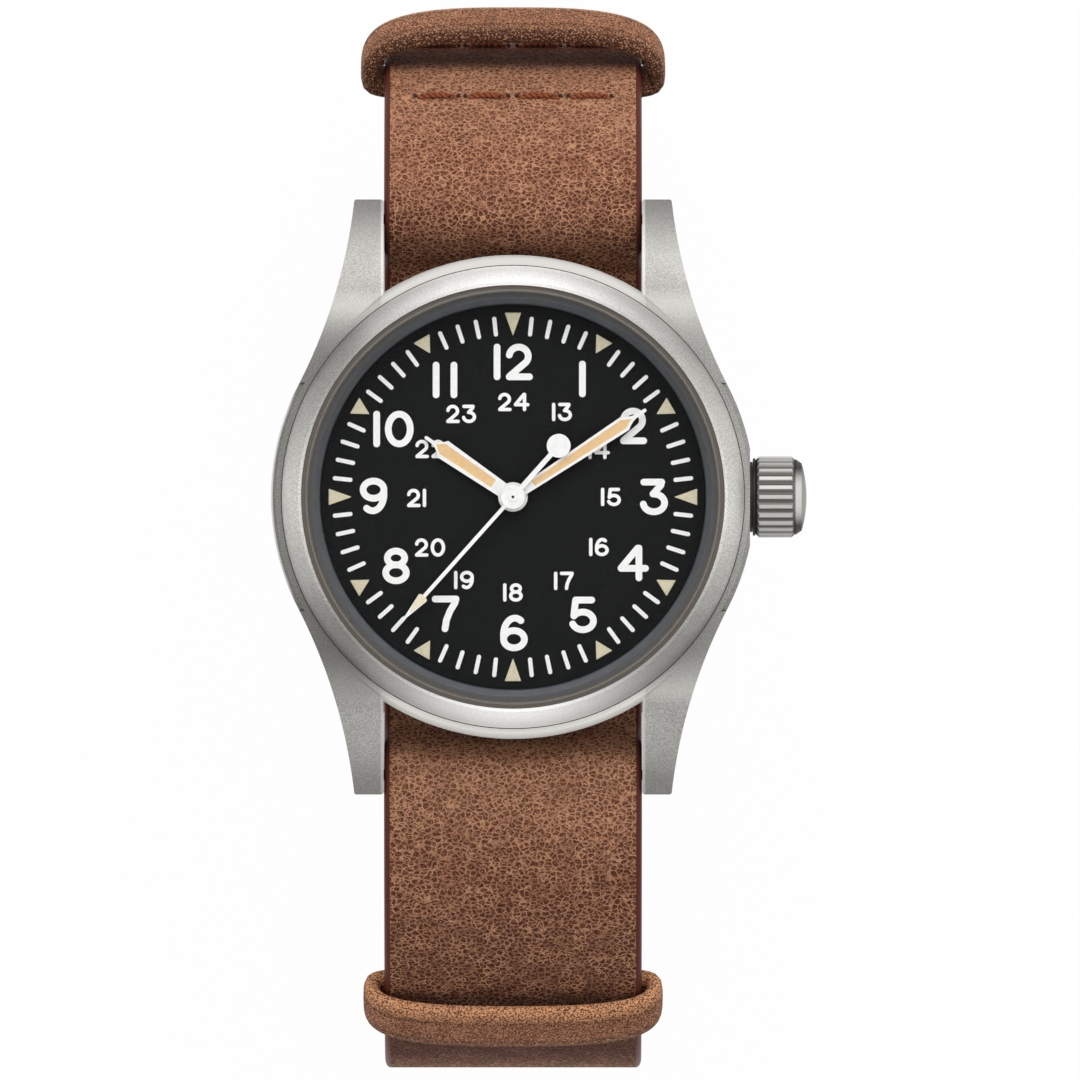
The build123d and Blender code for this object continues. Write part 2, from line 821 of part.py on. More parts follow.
with BuildPart() as buckle_frame:
    with BuildSketch(Plane.XY.offset(-overrun)) as plan:
        with Locations((0, frame_end_y)):
            Rectangle(2 * rail_out, buckle_reach + frame_wire + frame_eye_r,
                      align=(Align.CENTER, Align.MIN))
        fillet(plan.vertices().group_by(Axis.Y)[0], radius=frame_corner)
        with Locations((0, frame_end_y + frame_wire)):
            Rectangle(2 * rail_in, 2 * buckle_reach, align=(Align.CENTER, Align.MIN),
                      mode=Mode.SUBTRACT)
    extrude(plan.sketch, amount=2 * overrun + buckle_z + frame_eye_r)
    with BuildSketch(Plane.YZ) as profile:
        with BuildLine():
            Polyline((frame_end_y, 0), (slope_start_y, 0),
                     (buckle_y, buckle_z - frame_eye_r), (buckle_y, buckle_z + frame_eye_r),
                     (slope_start_y, frame_wire), (frame_end_y, frame_wire), close=True)
        make_face()
        with Locations((buckle_y, buckle_z)):
            Circle(frame_eye_r)
    extrude(profile.sketch, amount=2 * rail_out, both=True, mode=Mode.INTERSECT)
    with Locations(pin_axis):
        Cylinder(pin_r + pin_play, 3 * rail_out, mode=Mode.SUBTRACT)
    with Locations((0, frame_end_y - overrun, -overrun)):
        Box(2 * slot_half, 2 * overrun + frame_wire,
            overrun + tongue_thick + pin_play, align=(Align.CENTER, Align.MIN, Align.MIN),
            mode=Mode.SUBTRACT)
save(buckle_frame, "buckle_frame")

with BuildPart() as buckle_pin:
    with Locations(pin_axis):
        Cylinder(pin_r, 2 * (rail_out + pin_play))
    for side in (1, -1):
        with Locations(Location((side * (rail_out + pin_play + pin_head / 2), buckle_y, buckle_z),
                                (0, 90, 0))):
            Cylinder(pin_head_r, pin_head)
save(buckle_pin, "buckle_pin")

first_slope = math.radians(tongue_first_slope)
drop_slope = math.radians(tongue_drop_slope)
tongue_drop = buckle_z - tongue_thick / 2
bend_drop = tongue_bend * (math.cos(first_slope) + 1 - 2 * math.cos(drop_slope))
drop_run = (tongue_drop - tongue_first_run * math.sin(first_slope)
            - bend_drop) / math.sin(drop_slope)
tongue_reach = (tongue_first_run * math.cos(first_slope) + drop_run * math.cos(drop_slope)
                + tongue_bend * (2 * math.sin(drop_slope) - math.sin(first_slope)))
tongue_end = buckle_reach + frame_wire / 2 + tongue_overhang

with BuildPart() as buckle_tongue:
    ribbon(stations((buckle_y, buckle_z), 180 + tongue_first_slope, [
        (tongue_first_run, 0),
        (tongue_bend, tongue_drop_slope - tongue_first_slope),
        (drop_run, 0),
        (tongue_bend, -tongue_drop_slope),
        (tongue_end - tongue_reach, 0),
    ]), tongue_thick, tongue_width)
    with Locations(pin_axis):
        Cylinder(eye_r, tongue_width)
        Cylinder(pin_r + pin_play, 2 * tongue_width, mode=Mode.SUBTRACT)
save(buckle_tongue, "buckle_tongue")

# Spring bars, each with a sliding tip at both ends
lug_in = lug_gap / 2
bar_end_x = lug_in - bar_end_gap
for bar_name, bar_side in (("12", 1), ("6", -1)):
    with BuildPart() as spring_bar:
        with Locations(Location((0, bar_side * bar_y, bar_z), (0, 90, 0))):
            Cylinder(bar_r, 2 * bar_end_x)
        for side in (1, -1):
            depth = tip_in + tip_travel + bar_end_gap
            with Locations(Location((side * (bar_end_x - depth / 2), bar_side * bar_y, bar_z),
                                    (0, 90, 0))):
                Cylinder(tip_r + tip_clearance, depth, mode=Mode.SUBTRACT)
    save(spring_bar, f"spring_bar_{bar_name}")
    for tip_name, side in (("right", 1), ("left", -1)):
        length = tip_in + bar_end_gap + tip_out
        with BuildPart() as bar_tip:
            with Locations(Location((side * (bar_end_x - tip_in + length / 2), bar_side * bar_y,
                                     bar_z), (0, 90, 0))):
                Cylinder(tip_r, length)
        save(bar_tip, f"bar_tip_{bar_name}_{tip_name}")

# Case: a turned body with four lugs
tube_in_x = case_bore_r + fit_gap
crown_bore_end = crown_in_x + crown_bore_depth
tube_out_x = crown_bore_end - tube_end_gap
lug_root = polar(case_r, lug_root_angle)

with BuildPart() as case_middle:
    with BuildSketch(level(lug_foot)) as lug_plan:
        with BuildLine():
            ThreePointArc(lug_root, (lug_waist_x, lug_waist_y), (lug_tip_x, lug_tip_y))
            Polyline((lug_tip_x, lug_tip_y), (lug_in, lug_tip_y), (lug_in, lug_slope_y),
                     (lug_in, lug_in), lug_root)
        make_face()
        mirror(about=Plane.XZ)
        mirror(about=Plane.YZ)
    extrude(lug_plan.sketch, amount=case_rim - lug_foot)
    with BuildSketch(Plane.YZ) as lug_side:
        with BuildLine():
            Polyline((lug_slope_y, head_lift + case_rim), (0, head_lift + case_rim),
                     (0, head_lift + lug_root_foot), (case_foot_r, head_lift + lug_root_foot),
                     (lug_tip_y, head_lift + lug_foot), (lug_tip_y, head_lift + lug_tip_top))
            TangentArc((lug_slope_y, head_lift + case_rim),
                       (lug_tip_y, head_lift + lug_tip_top), tangent=(1, 0))
        make_face()
        mirror(about=Plane.YZ)
    extrude(lug_side.sketch, amount=case_r, both=True, mode=Mode.INTERSECT)
    outer_lug_edges = (case_middle.edges().filter_by(Axis.Z)
                       .filter_by(lambda edge: abs(abs(edge.center().Y) - lug_tip_y) < fit_gap))
    fillet(outer_lug_edges, radius=lug_edge)
    turned([(case_lip_r, case_foot), (case_foot_r, case_foot), (case_r, case_waist),
            (case_r, case_rim - case_edge), (case_r - case_edge, case_rim),
            (neck_r, case_rim), (neck_r, case_rim + neck_height),
            (case_lip_r, case_rim + neck_height)])
    disc(origin, case_bore_r, 0, case_rim + neck_height - lip_thick, Mode.SUBTRACT)
    disc(origin, case_lip_r, 0, bezel_top, Mode.SUBTRACT)
    slab((crown_flat_x, case_r + overrun), (-crown_flat_half, crown_flat_half),
         (0, bezel_top), Mode.SUBTRACT)
    lying(case_lip_r, case_r + overrun, tube_r + fit_gap, Mode.SUBTRACT)
    for bar_side in (1, -1):
        for side in (1, -1):
            depth = tip_out + bar_end_gap + tip_travel / 2
            with Locations(Location((side * (lug_in + depth / 2 - bar_end_gap), bar_side * bar_y,
                                     bar_z), (0, 90, 0))):
                Cylinder(tip_r + tip_clearance, depth, mode=Mode.SUBTRACT)
save(case_middle, "case_middle")

with BuildPart() as bezel_ring:
    with BuildSketch(Plane.XZ) as bezel_section:
        slope_top = (bezel_bore_r + bezel_land, head_lift + bezel_top)
        slope_foot = (bezel_r, head_lift + case_rim + bezel_land)
        slope_middle = ((slope_top[0] + slope_foot[0]) / 2 + bezel_bulge,
                        (slope_top[1] + slope_foot[1]) / 2 + bezel_bulge)
        with BuildLine():
            Polyline(slope_foot, (bezel_r, head_lift + case_rim),
                     (neck_r + fit_gap, head_lift + case_rim),
                     (neck_r + fit_gap, head_lift + case_rim + neck_height),
                     (bezel_bore_r, head_lift + case_rim + neck_height),
                     (bezel_bore_r, head_lift + bezel_top), slope_top)
            ThreePointArc(slope_top, slope_middle, slope_foot)
        make_face()
    revolve(bezel_section.sketch, axis=Axis.Z)
save(bezel_ring, "bezel_ring")

with BuildPart() as crystal:
    turned([(0, crystal_low), (crystal_r, crystal_low),
            (crystal_r, crystal_low + crystal_thick - crystal_chamfer),
            (crystal_r - crystal_chamfer, crystal_low + crystal_thick),
            (0, crystal_low + crystal_thick)])
save(crystal, "crystal")

with BuildPart() as crystal_gasket:
    gasket_low = case_rim + neck_height
    turned([(case_lip_r, gasket_low), (bezel_bore_r - fit_gap, gasket_low),
            (bezel_bore_r - fit_gap, gasket_low + gasket_wall_height),
            (crystal_r + fit_gap, gasket_low + gasket_wall_height),
            (crystal_r + fit_gap, crystal_low), (case_lip_r, crystal_low)])
save(crystal_gasket, "crystal_gasket")

with BuildPart() as flange_ring:
    turned([(flange_inner_r, dial_top), (flange_r, dial_top),
            (flange_r, case_rim + neck_height - lip_thick),
            (flange_top_r, case_rim + neck_height - lip_thick)])
save(flange_ring, "flange_ring")

back_boss_r = case_bore_r - seat_gap
groove_out_r = back_gasket_r + back_gasket_width + fit_gap
with BuildPart() as case_back:
    disc(origin, back_r, 0, back_plate)
    ring(origin, back_boss_r, back_boss_r - back_boss_wall, back_plate, back_boss_top)
    with BuildSketch(level(back_plate)) as groove:
        Circle(groove_out_r)
        Circle(back_gasket_r - fit_gap, mode=Mode.SUBTRACT)
    extrude(groove.sketch, amount=-back_gasket_thick - fit_gap, mode=Mode.SUBTRACT)
    with BuildSketch(level(0)) as key_slots:
        with PolarLocations(back_r, back_slots):
            SlotOverall(2 * back_slot_reach, back_slot_width)
    extrude(key_slots.sketch, amount=back_slot_depth / 2, both=True, mode=Mode.SUBTRACT)
save(case_back, "case_back")

with BuildPart() as case_back_gasket:
    ring(origin, back_gasket_r + back_gasket_width, back_gasket_r,
         back_plate - back_gasket_thick, back_plate - fit_gap)
save(case_back_gasket, "case_back_gasket")

with BuildPart() as movement_holder:
    ring(origin, holder_r, plate_r + holder_bore_gap, holder_base, dial_base - seat_gap)
    lying(plate_r, case_r, stem_r + holder_stem_gap, Mode.SUBTRACT)
save(movement_holder, "movement_holder")

# Dial and hands
with BuildPart() as dial:
    ring(origin, dial_r, dial_hole_r, dial_base, dial_top)
    for turn in (0, 180):
        disc(polar(dial_foot_place, dial_foot_angle + turn), dial_foot_r,
             dial_base - dial_foot_drop, dial_base)
save(dial, "dial")


def hand(low, angle, length, shoulder, half_width, root_half, hub_r, bore_r, window):
    """A hand with a slot for luminous paste and a spike at its end, turned clockwise from twelve."""
    neck = shoulder + (length - shoulder) * hand_neck_share
    hollow = (spike_half + (half_width - spike_half) * hand_hollow_share, (shoulder + neck) / 2)
    slot_start, slot_half_in, slot_shoulder, slot_half_out, slot_point = window
    with BuildSketch(level(low).rotated((0, 0, -angle))) as outline:
        with BuildLine():
            Polyline((0, 0), (root_half, 0), (half_width, shoulder))
            ThreePointArc((half_width, shoulder), hollow, (spike_half, neck))
            Line((spike_half, neck), (spike_half, length - spike_half))
            ThreePointArc((spike_half, length - spike_half),
                          (spike_half * math.sqrt(1 / 2),
                           length - spike_half + spike_half * math.sqrt(1 / 2)), (0, length))
            mirror(about=Plane.YZ)
        make_face()
        Circle(hub_r)
        Circle(bore_r, mode=Mode.SUBTRACT)
        with BuildLine():
            Polyline((-slot_half_in, slot_start), (slot_half_in, slot_start),
                     (slot_half_out, slot_shoulder), (0, slot_point),
                     (-slot_half_out, slot_shoulder), close=True)
        make_face(mode=Mode.SUBTRACT)
    extrude(outline.sketch, amount=hand_thick)


with BuildPart() as hour_hand:
    hand(hour_hand_z, hour_hand_angle, hour_length, hour_shoulder, hour_half_width,
         hour_root_half, hour_hub_r, hour_tube_r + fit_gap, hour_window)
save(hour_hand, "hour_hand")

with BuildPart() as minute_hand:
    hand(minute_hand_z, minute_hand_angle, minute_length, minute_shoulder, minute_half_width,
         minute_root_half, minute_hub_r, cannon_tube_r + fit_gap, minute_window)
save(minute_hand, "minute_hand")

with BuildPart() as seconds_hand:
    with BuildSketch(level(seconds_hand_z).rotated((0, 0, -seconds_hand_angle))) as outline:
        with BuildLine():
            Polyline((-seconds_half_width, 0), (seconds_half_width, 0),
                     (seconds_half_width, arrow_start), (arrow_half_width, arrow_start),
                     (seconds_tip_half, seconds_length), (-seconds_tip_half, seconds_length),
                     (-arrow_half_width, arrow_start), (-seconds_half_width, arrow_start),
                     close=True)
        make_face()
        Circle(seconds_hub_r)
        with Locations((0, -tail_disc_place)):
            Circle(tail_disc_r)
        with Locations((0, -tail_disc_place / 2)):
            Rectangle(2 * tail_arm_half, tail_disc_place)
        Circle(arbor_r + fit_gap, mode=Mode.SUBTRACT)
    extrude(outline.sketch, amount=hand_thick)
    ring(origin, seconds_pipe_r, arbor_r + fit_gap, seconds_hand_z - seconds_pipe,
         seconds_hand_z)
save(seconds_hand, "seconds_hand")

# Crown, its gasket, the case's tube and the stem
flute_low = crown_in_x + crown_skirt
flute_high = flute_low + crown_flute_length
collar_high = flute_high + crown_collar
stem_out_x = crown_bore_end + stem_in_crown
with BuildPart() as crown:
    with BuildSketch(stem_plane.offset(flute_low)) as knurl:
        Circle(crown_r)
        with PolarLocations(crown_r + flute_sink, crown_flutes):
            Circle(flute_r, mode=Mode.SUBTRACT)
    extrude(knurl.sketch, amount=crown_flute_length)
    with BuildSketch(Plane.XZ) as envelope:
        with BuildLine():
            Polyline((flute_low, crown_z), (flute_low, crown_z + crown_r - crown_chamfer),
                     (flute_low + crown_chamfer, crown_z + crown_r),
                     (flute_high - crown_chamfer, crown_z + crown_r),
                     (flute_high, crown_z + crown_r - crown_chamfer),
                     (flute_high, crown_z), close=True)
        make_face()
    revolve(envelope.sketch, axis=Axis((0, 0, crown_z), (1, 0, 0)), mode=Mode.INTERSECT)
    with BuildSketch(Plane.XZ) as ends:
        with BuildLine():
            Polyline((flute_high, crown_z + crown_collar_r), (flute_high, crown_z),
                     (collar_high + crown_dome, crown_z))
            ThreePointArc((collar_high + crown_dome, crown_z),
                          (collar_high + crown_dome * 3 / 4, crown_z + crown_collar_end_r / 2),
                          (collar_high, crown_z + crown_collar_end_r))
            Line((collar_high, crown_z + crown_collar_end_r), (flute_high, crown_z + crown_collar_r))
        make_face()
    revolve(ends.sketch, axis=Axis((0, 0, crown_z), (1, 0, 0)))
    lying(crown_in_x, flute_low, crown_skirt_r)
    lying(crown_in_x - overrun, crown_bore_end, crown_bore_r, Mode.SUBTRACT)
    lying(crown_bore_end - overrun, stem_out_x + fit_gap, stem_r + fit_gap, Mode.SUBTRACT)
save(crown, "crown")

with BuildPart() as crown_gasket:
    lying(crown_in_x + oring_inset, crown_in_x + oring_inset + oring_length,
          crown_bore_r - fit_gap)
    lying(crown_in_x, crown_in_x + overrun, tube_r + fit_gap, Mode.SUBTRACT)
save(crown_gasket, "crown_gasket")

with BuildPart() as crown_tube:
    lying(tube_in_x, tube_out_x, tube_r)
    lying(tube_in_x - overrun, tube_out_x + overrun, tube_bore_r, Mode.SUBTRACT)
save(crown_tube, "crown_tube")

groove_x = (stem_groove_x - stem_groove_width / 2, stem_groove_x + stem_groove_width / 2)
with BuildPart() as winding_stem:
    lying(stem_pilot_x, stem_square_x, stem_pilot_r)
    slab((stem_square_x, sliding_pinion_x[1]), (-stem_square / 2, stem_square / 2),
         (crown_axis - stem_square / 2, crown_axis + stem_square / 2))
    lying(sliding_pinion_x[1], groove_x[0], stem_r)
    lying(groove_x[0], groove_x[1], stem_groove_r)
    lying(groove_x[1], stem_out_x, stem_r)
save(winding_stem, "winding_stem")

with BuildPart() as winding_pinion:
    with BuildSketch(stem_plane.offset(winding_pinion_x[0])) as outline:
        Polygon(*tooth_points(origin, winding_teeth, winding_module, -90), align=None)
        Circle(stem_r + fit_gap, mode=Mode.SUBTRACT)
    extrude(outline.sketch, amount=winding_pinion_x[1] - winding_pinion_x[0])
save(winding_pinion, "winding_pinion")

with BuildPart() as sliding_pinion:
    lying(*sliding_pinion_x, sliding_r)
    with BuildSketch(stem_plane.offset(sliding_middle)) as groove:
        Circle(sliding_r + overrun)
        Circle(sliding_groove_r, mode=Mode.SUBTRACT)
    extrude(groove.sketch, amount=sliding_groove / 2, both=True, mode=Mode.SUBTRACT)
    square_hole = stem_square + 2 * fit_gap
    slab((sliding_pinion_x[0] - overrun, sliding_pinion_x[1] + overrun),
         (-square_hole / 2, square_hole / 2),
         (crown_axis - square_hole / 2, crown_axis + square_hole / 2), Mode.SUBTRACT)
save(sliding_pinion, "sliding_pinion")

with BuildPart() as setting_lever:
    lever_arm = bearing(lever_pivot, (stem_groove_x, 0))
    lever_length = span(lever_pivot, (stem_groove_x, 0))
    with BuildSketch(level(lever_heights[0])) as outline:
        with Locations(((lever_pivot[0] + stem_groove_x) / 2, lever_pivot[1] / 2)):
            SlotCenterToCenter(lever_length, 2 * lever_half, rotation=lever_arm)
        with Locations(lever_pivot):
            Circle(stud_r + stud_gap, mode=Mode.SUBTRACT)
    extrude(outline.sketch, amount=lever_heights[1] - lever_heights[0])
    disc((stem_groove_x, 0), lever_pin_r, lever_pin_low, lever_heights[0])
save(setting_lever, "setting_lever")

with BuildPart() as yoke:
    with BuildSketch(level(lever_heights[0])) as outline:
        with Locations((sliding_middle, yoke_pivot_y)):
            Circle(yoke_eye_r)
        with Locations((sliding_middle, yoke_end)):
            Rectangle(2 * yoke_half, yoke_pivot_y - yoke_end, align=(Align.CENTER, Align.MIN))
        with Locations((sliding_middle, yoke_pivot_y)):
            Circle(stud_r + stud_gap, mode=Mode.SUBTRACT)
    extrude(outline.sketch, amount=lever_heights[1] - lever_heights[0])
save(yoke, "yoke")

# Motion work under the dial
with BuildPart() as cannon_pinion:
    driving_phase = gap_phase(driving_teeth, origin, third_centre)
    toothed(origin, driving_teeth, driving_module, driving_heights, driving_phase)
    disc(origin, cannon_tube_r + wheel_thick, driving_heights[0], cannon_heights[0])
    toothed(origin, cannon_teeth, cannon_module, cannon_heights,
            bearing(origin, minute_wheel_centre))
    disc(origin, cannon_tube_r, cannon_heights[1], minute_hand_z + hand_thick)
    disc(origin, centre_tube_r + tube_gap, plate_web, centre_tube_top + seat_gap, Mode.SUBTRACT)
    disc(origin, centre_tube_bore, centre_tube_top, seconds_hand_z, Mode.SUBTRACT)
save(cannon_pinion, "cannon_pinion")

with BuildPart() as hour_wheel:
    toothed(origin, hour_teeth, hour_module, hour_heights,
            gap_phase(hour_teeth, origin, minute_wheel_centre))
    disc(origin, hour_tube_r, hour_heights[1], hour_hand_z + hand_thick)
    disc(origin, cannon_tube_r + tube_gap, hour_heights[0] - overrun, seconds_hand_z,
         Mode.SUBTRACT)
save(hour_wheel, "hour_wheel")

with BuildPart() as minute_wheel:
    toothed(minute_wheel_centre, minute_teeth, cannon_module, minute_heights,
            gap_phase(minute_teeth, minute_wheel_centre, origin))
    toothed(minute_wheel_centre, minute_pinion_teeth, hour_module,
            (minute_heights[1], minute_pinion_top), bearing(minute_wheel_centre, origin))
    disc(minute_wheel_centre, stud_r + stud_gap, plate_web, dial_base, Mode.SUBTRACT)
save(minute_wheel, "minute_wheel")

with BuildPart() as setting_wheel:
    minute_phase = gap_phase(minute_teeth, minute_wheel_centre, origin)
    to_setting = bearing(minute_wheel_centre, setting_centre)
    off_step = ((to_setting - minute_phase) * minute_teeth / 360) % 1
    toothed(setting_centre, setting_teeth, cannon_module, minute_heights,
            to_setting + 180 + (off_step + 1 / 2) * 360 / setting_teeth)
    disc(setting_centre, stud_r + stud_gap, plate_web, dial_base, Mode.SUBTRACT)
save(setting_wheel, "setting_wheel")

# Main plate
with BuildPart() as main_plate:
    disc(origin, plate_r, plate_low, dial_base)
    slab((block_x, plate_r), (-block_half, block_half), (block_low, plate_low))
    with BuildSketch(level(block_low)) as trim:
        Circle(plate_r)
    extrude(trim.sketch, amount=dial_base - block_low, mode=Mode.INTERSECT)
    slab((stem_pilot_x - pilot_block_half / 2, stem_square_x - pinion_slot_gap),
         (-pilot_block_half, pilot_block_half), (pilot_block_low, plate_low))
    minute_tip = (minute_teeth / 2 + 1) * cannon_module + wheel_room
    setting_tip = (setting_teeth / 2 + 1) * cannon_module + wheel_room
    for place, radius in ((origin, motion_recess_r), (minute_wheel_centre, minute_tip),
                          (setting_centre, setting_tip)):
        disc(place, radius, plate_web, dial_base, Mode.SUBTRACT)
    slab((keyless_recess_start, plate_r), keyless_recess_y, (plate_web, dial_base), Mode.SUBTRACT)
    slab((stem_square_x - pinion_slot_gap, block_x), (-pinion_slot_half, pinion_slot_half),
         (plate_low, dial_base), Mode.SUBTRACT)
    slab((block_x, plate_r), (-lever_slot_half, lever_slot_half),
         (crown_axis, dial_base), Mode.SUBTRACT)
    lying(block_x - overrun, plate_r + overrun, stem_r + fit_gap, Mode.SUBTRACT)
    lying(stem_pilot_x - pilot_block_half / 2, stem_square_x, stem_pilot_r + fit_gap,
          Mode.SUBTRACT)
    ring(origin, centre_tube_r, centre_tube_bore, plate_low, centre_tube_top)
    disc(origin, centre_tube_bore, plate_low, plate_web, Mode.SUBTRACT)
    for place in (minute_wheel_centre, setting_centre):
        disc(place, stud_r, plate_web, stud_top)
    for place in (lever_pivot, (sliding_middle, yoke_pivot_y)):
        disc(place, stud_r, plate_web, lever_heights[1] + seat_gap)
    for turn in (0, 180):
        disc(polar(dial_foot_place, dial_foot_angle + turn), dial_foot_r + fit_gap,
             dial_base - dial_foot_drop - fit_gap, dial_base, Mode.SUBTRACT)
    for place in (great_centre, third_centre, escape_centre, pallet_centre, balance_centre):
        disc(place, jewel_r + fit_gap, plate_low, plate_low + jewel_thick, Mode.SUBTRACT)
    disc(third_centre, arbor_r + fit_gap, plate_low, plate_web, Mode.SUBTRACT)
    disc(barrel_centre, barrel_pivot_r + barrel_gap, plate_low, plate_low + jewel_thick * 2,
         Mode.SUBTRACT)
    for place in barrel_pillars + train_pillars + [cock_foot]:
        disc(place, screw_r + screw_gap, plate_low, screw_end + screw_gap, Mode.SUBTRACT)
    for place in pallet_feet:
        disc(place, pallet_foot_r, pallet_bridge_high, plate_low)
        disc(place, pallet_screw_r + screw_gap, pallet_bridge_high, screw_end + screw_gap,
             Mode.SUBTRACT)
save(main_plate, "main_plate")


def screw_holes(places, low):
    """Clears the shanks of the screws that hold a bridge."""
    for place in places:
        disc(place, screw_r + screw_gap, low, plate_low, Mode.SUBTRACT)


def jewel_seats(places, high):
    """Counterbores for jewels that lie flush with a bridge's upper face."""
    for place in places:
        disc(place, jewel_r + fit_gap, high - jewel_thick, high, Mode.SUBTRACT)
        disc(place, pivot_r + 2 * pivot_gap, high - bridge_high, high, Mode.SUBTRACT)


# Bridges
crown_wheel_r = (crown_wheel_teeth / 2 + 1) * winding_module
winding_tip_r = (winding_teeth / 2 + 1) * winding_module
with BuildPart() as barrel_bridge:
    with BuildSketch(level(bridge_low)) as outline:
        Polygon(*(split_line + barrel_side_corners), align=None)
        Circle(bridge_r, mode=Mode.INTERSECT)
    extrude(outline.sketch, amount=bridge_high - bridge_low)
    for place in barrel_pillars:
        disc(place, pillar_r, bridge_low, plate_low)
    screw_holes(barrel_pillars, bridge_low)
    disc(stem_point, crown_wheel_r + wheel_room / 2, bridge_low, crown_recess, Mode.SUBTRACT)
    slab((winding_pinion_x[0] - pinion_slot_gap, winding_pinion_x[1] + pinion_slot_gap),
         (-winding_tip_r, winding_tip_r), (crown_recess, bridge_high), Mode.SUBTRACT)
    slab((sliding_pinion_x[0] - sliding_travel - pinion_slot_gap, winding_pinion_x[0]),
         (-sliding_r, sliding_r), (crown_recess + pinion_slot_gap, bridge_high), Mode.SUBTRACT)
    disc(stem_point, crown_core_r, crown_wheel_heights[0], crown_recess)
    disc(click_pivot, click_stud_r, ratchet_heights[0], bridge_low)
    disc(barrel_centre, barrel_pivot_r + barrel_gap, bridge_low, bridge_high, Mode.SUBTRACT)
save(barrel_bridge, "barrel_bridge")

train_arbors = [great_centre, third_centre, origin, escape_centre]
with BuildPart() as train_bridge:
    with BuildSketch(level(bridge_low)) as outline:
        Polygon(*([(x - split_gap, y) for x, y in split_line[:-1]] + train_side_corners),
                align=None)
        Circle(bridge_r, mode=Mode.INTERSECT)
        with Locations(balance_centre):
            Circle(balance_r + balance_room, mode=Mode.SUBTRACT)
    extrude(outline.sketch, amount=bridge_high - bridge_low)
    for place in train_pillars:
        disc(place, pillar_r, bridge_low, plate_low)
    screw_holes(train_pillars, bridge_low)
    jewel_seats(train_arbors, bridge_high)
save(train_bridge, "train_bridge")


def bar_between(start, end, half_width, heights):
    """A flat bar with round ends between two upright axes."""
    with BuildSketch(level(heights[0])) as outline:
        for place in (start, end):
            with Locations(place):
                Circle(half_width)
        middle = ((start[0] + end[0]) / 2, (start[1] + end[1]) / 2)
        with Locations(middle):
            Rectangle(span(start, end), 2 * half_width, rotation=bearing(start, end))
    extrude(outline.sketch, amount=heights[1] - heights[0])


with BuildPart() as pallet_bridge:
    bar_between(*pallet_feet, pallet_bridge_half, (pallet_bridge_low, pallet_bridge_high))
    for place in pallet_feet:
        disc(place, pallet_screw_r + screw_gap, pallet_bridge_low, pallet_bridge_high,
             Mode.SUBTRACT)
    disc(pallet_centre, pivot_r + pivot_gap, pallet_bridge_low, pallet_bridge_high,
         Mode.SUBTRACT)
save(pallet_bridge, "pallet_bridge")

with BuildPart() as balance_cock:
    bar_between(cock_foot, balance_centre, cock_half, (cock_low, cock_high))
    disc(cock_foot, cock_half, cock_low, plate_low)
    disc(cock_foot, screw_r + screw_gap, cock_low, plate_low, Mode.SUBTRACT)
    jewel_seats([balance_centre], cock_high)
save(balance_cock, "balance_cock")

with BuildPart() as jewels:
    for place, low, hole_r_here in (
            [(place, bridge_high - jewel_thick, pivot_r) for place in train_arbors]
            + [(place, plate_low, pivot_r)
               for place in (great_centre, escape_centre, pallet_centre, balance_centre)]
            + [(third_centre, plate_low, arbor_r),
               (balance_centre, cock_high - jewel_thick, pivot_r)]):
        ring(place, jewel_r, hole_r_here + pivot_gap, low, low + jewel_thick)
save(jewels, "jewels")

with BuildPart() as bridge_screws:
    for place, low in ([(place, bridge_low) for place in barrel_pillars + train_pillars]
                       + [(cock_foot, cock_low)]):
        disc(place, screw_head_r, low - screw_head, low)
        disc(place, screw_r, low, screw_end)
        slab((place[0] - screw_head_r, place[0] + screw_head_r),
             (place[1] - driver_slot / 2, place[1] + driver_slot / 2),
             (low - screw_head, low - screw_head + driver_slot_depth), Mode.SUBTRACT)
    for place in pallet_feet:
        disc(place, pallet_screw_r, pallet_bridge_low, screw_end)
save(bridge_screws, "bridge_screws")

# Barrel
cover_high = drum_low + cover_thick
with BuildPart() as barrel_drum:
    great_phase = bearing(great_centre, barrel_centre)
    disc(barrel_centre, drum_r, drum_low, drum_high)
    toothed(barrel_centre, barrel_teeth, barrel_module, (drum_teeth_low, drum_high),
            gap_phase(barrel_teeth, barrel_centre, great_centre))
    disc(barrel_centre, drum_inner_r, drum_low, drum_high - drum_floor, Mode.SUBTRACT)
    disc(barrel_centre, barrel_pivot_r + barrel_gap, drum_low, drum_high, Mode.SUBTRACT)
save(barrel_drum, "barrel_drum")

with BuildPart() as barrel_cover:
    ring(barrel_centre, drum_inner_r - fit_gap, barrel_pivot_r + barrel_gap, drum_low,
         cover_high)
save(barrel_cover, "barrel_cover")

spring_heights = (cover_high + spring_gap, drum_high - drum_floor - spring_gap)
with BuildPart() as barrel_arbor:
    disc(barrel_centre, barrel_hub_r, cover_high + barrel_gap,
         drum_high - drum_floor - barrel_gap)
    disc(barrel_centre, barrel_pivot_r, bridge_low, plate_low + jewel_thick)
    square = barrel_square / 2
    slab((barrel_centre[0] - square, barrel_centre[0] + square),
         (barrel_centre[1] - square, barrel_centre[1] + square),
         (ratchet_heights[0], bridge_low))
    disc(barrel_centre, ratchet_screw_shank_r + fit_gap, ratchet_heights[0],
         ratchet_screw_end + fit_gap, Mode.SUBTRACT)
save(barrel_arbor, "barrel_arbor")

with BuildPart() as mainspring:
    spring_start = barrel_hub_r + spring_gap + spring_thick / 2
    spring_room = drum_inner_r - spring_gap - spring_thick / 2 - spring_start
    spiral(barrel_centre, spring_start, spring_room / (2 * spring_turns), 2 * spring_turns,
           spring_thick, spring_heights)
save(mainspring, "mainspring")

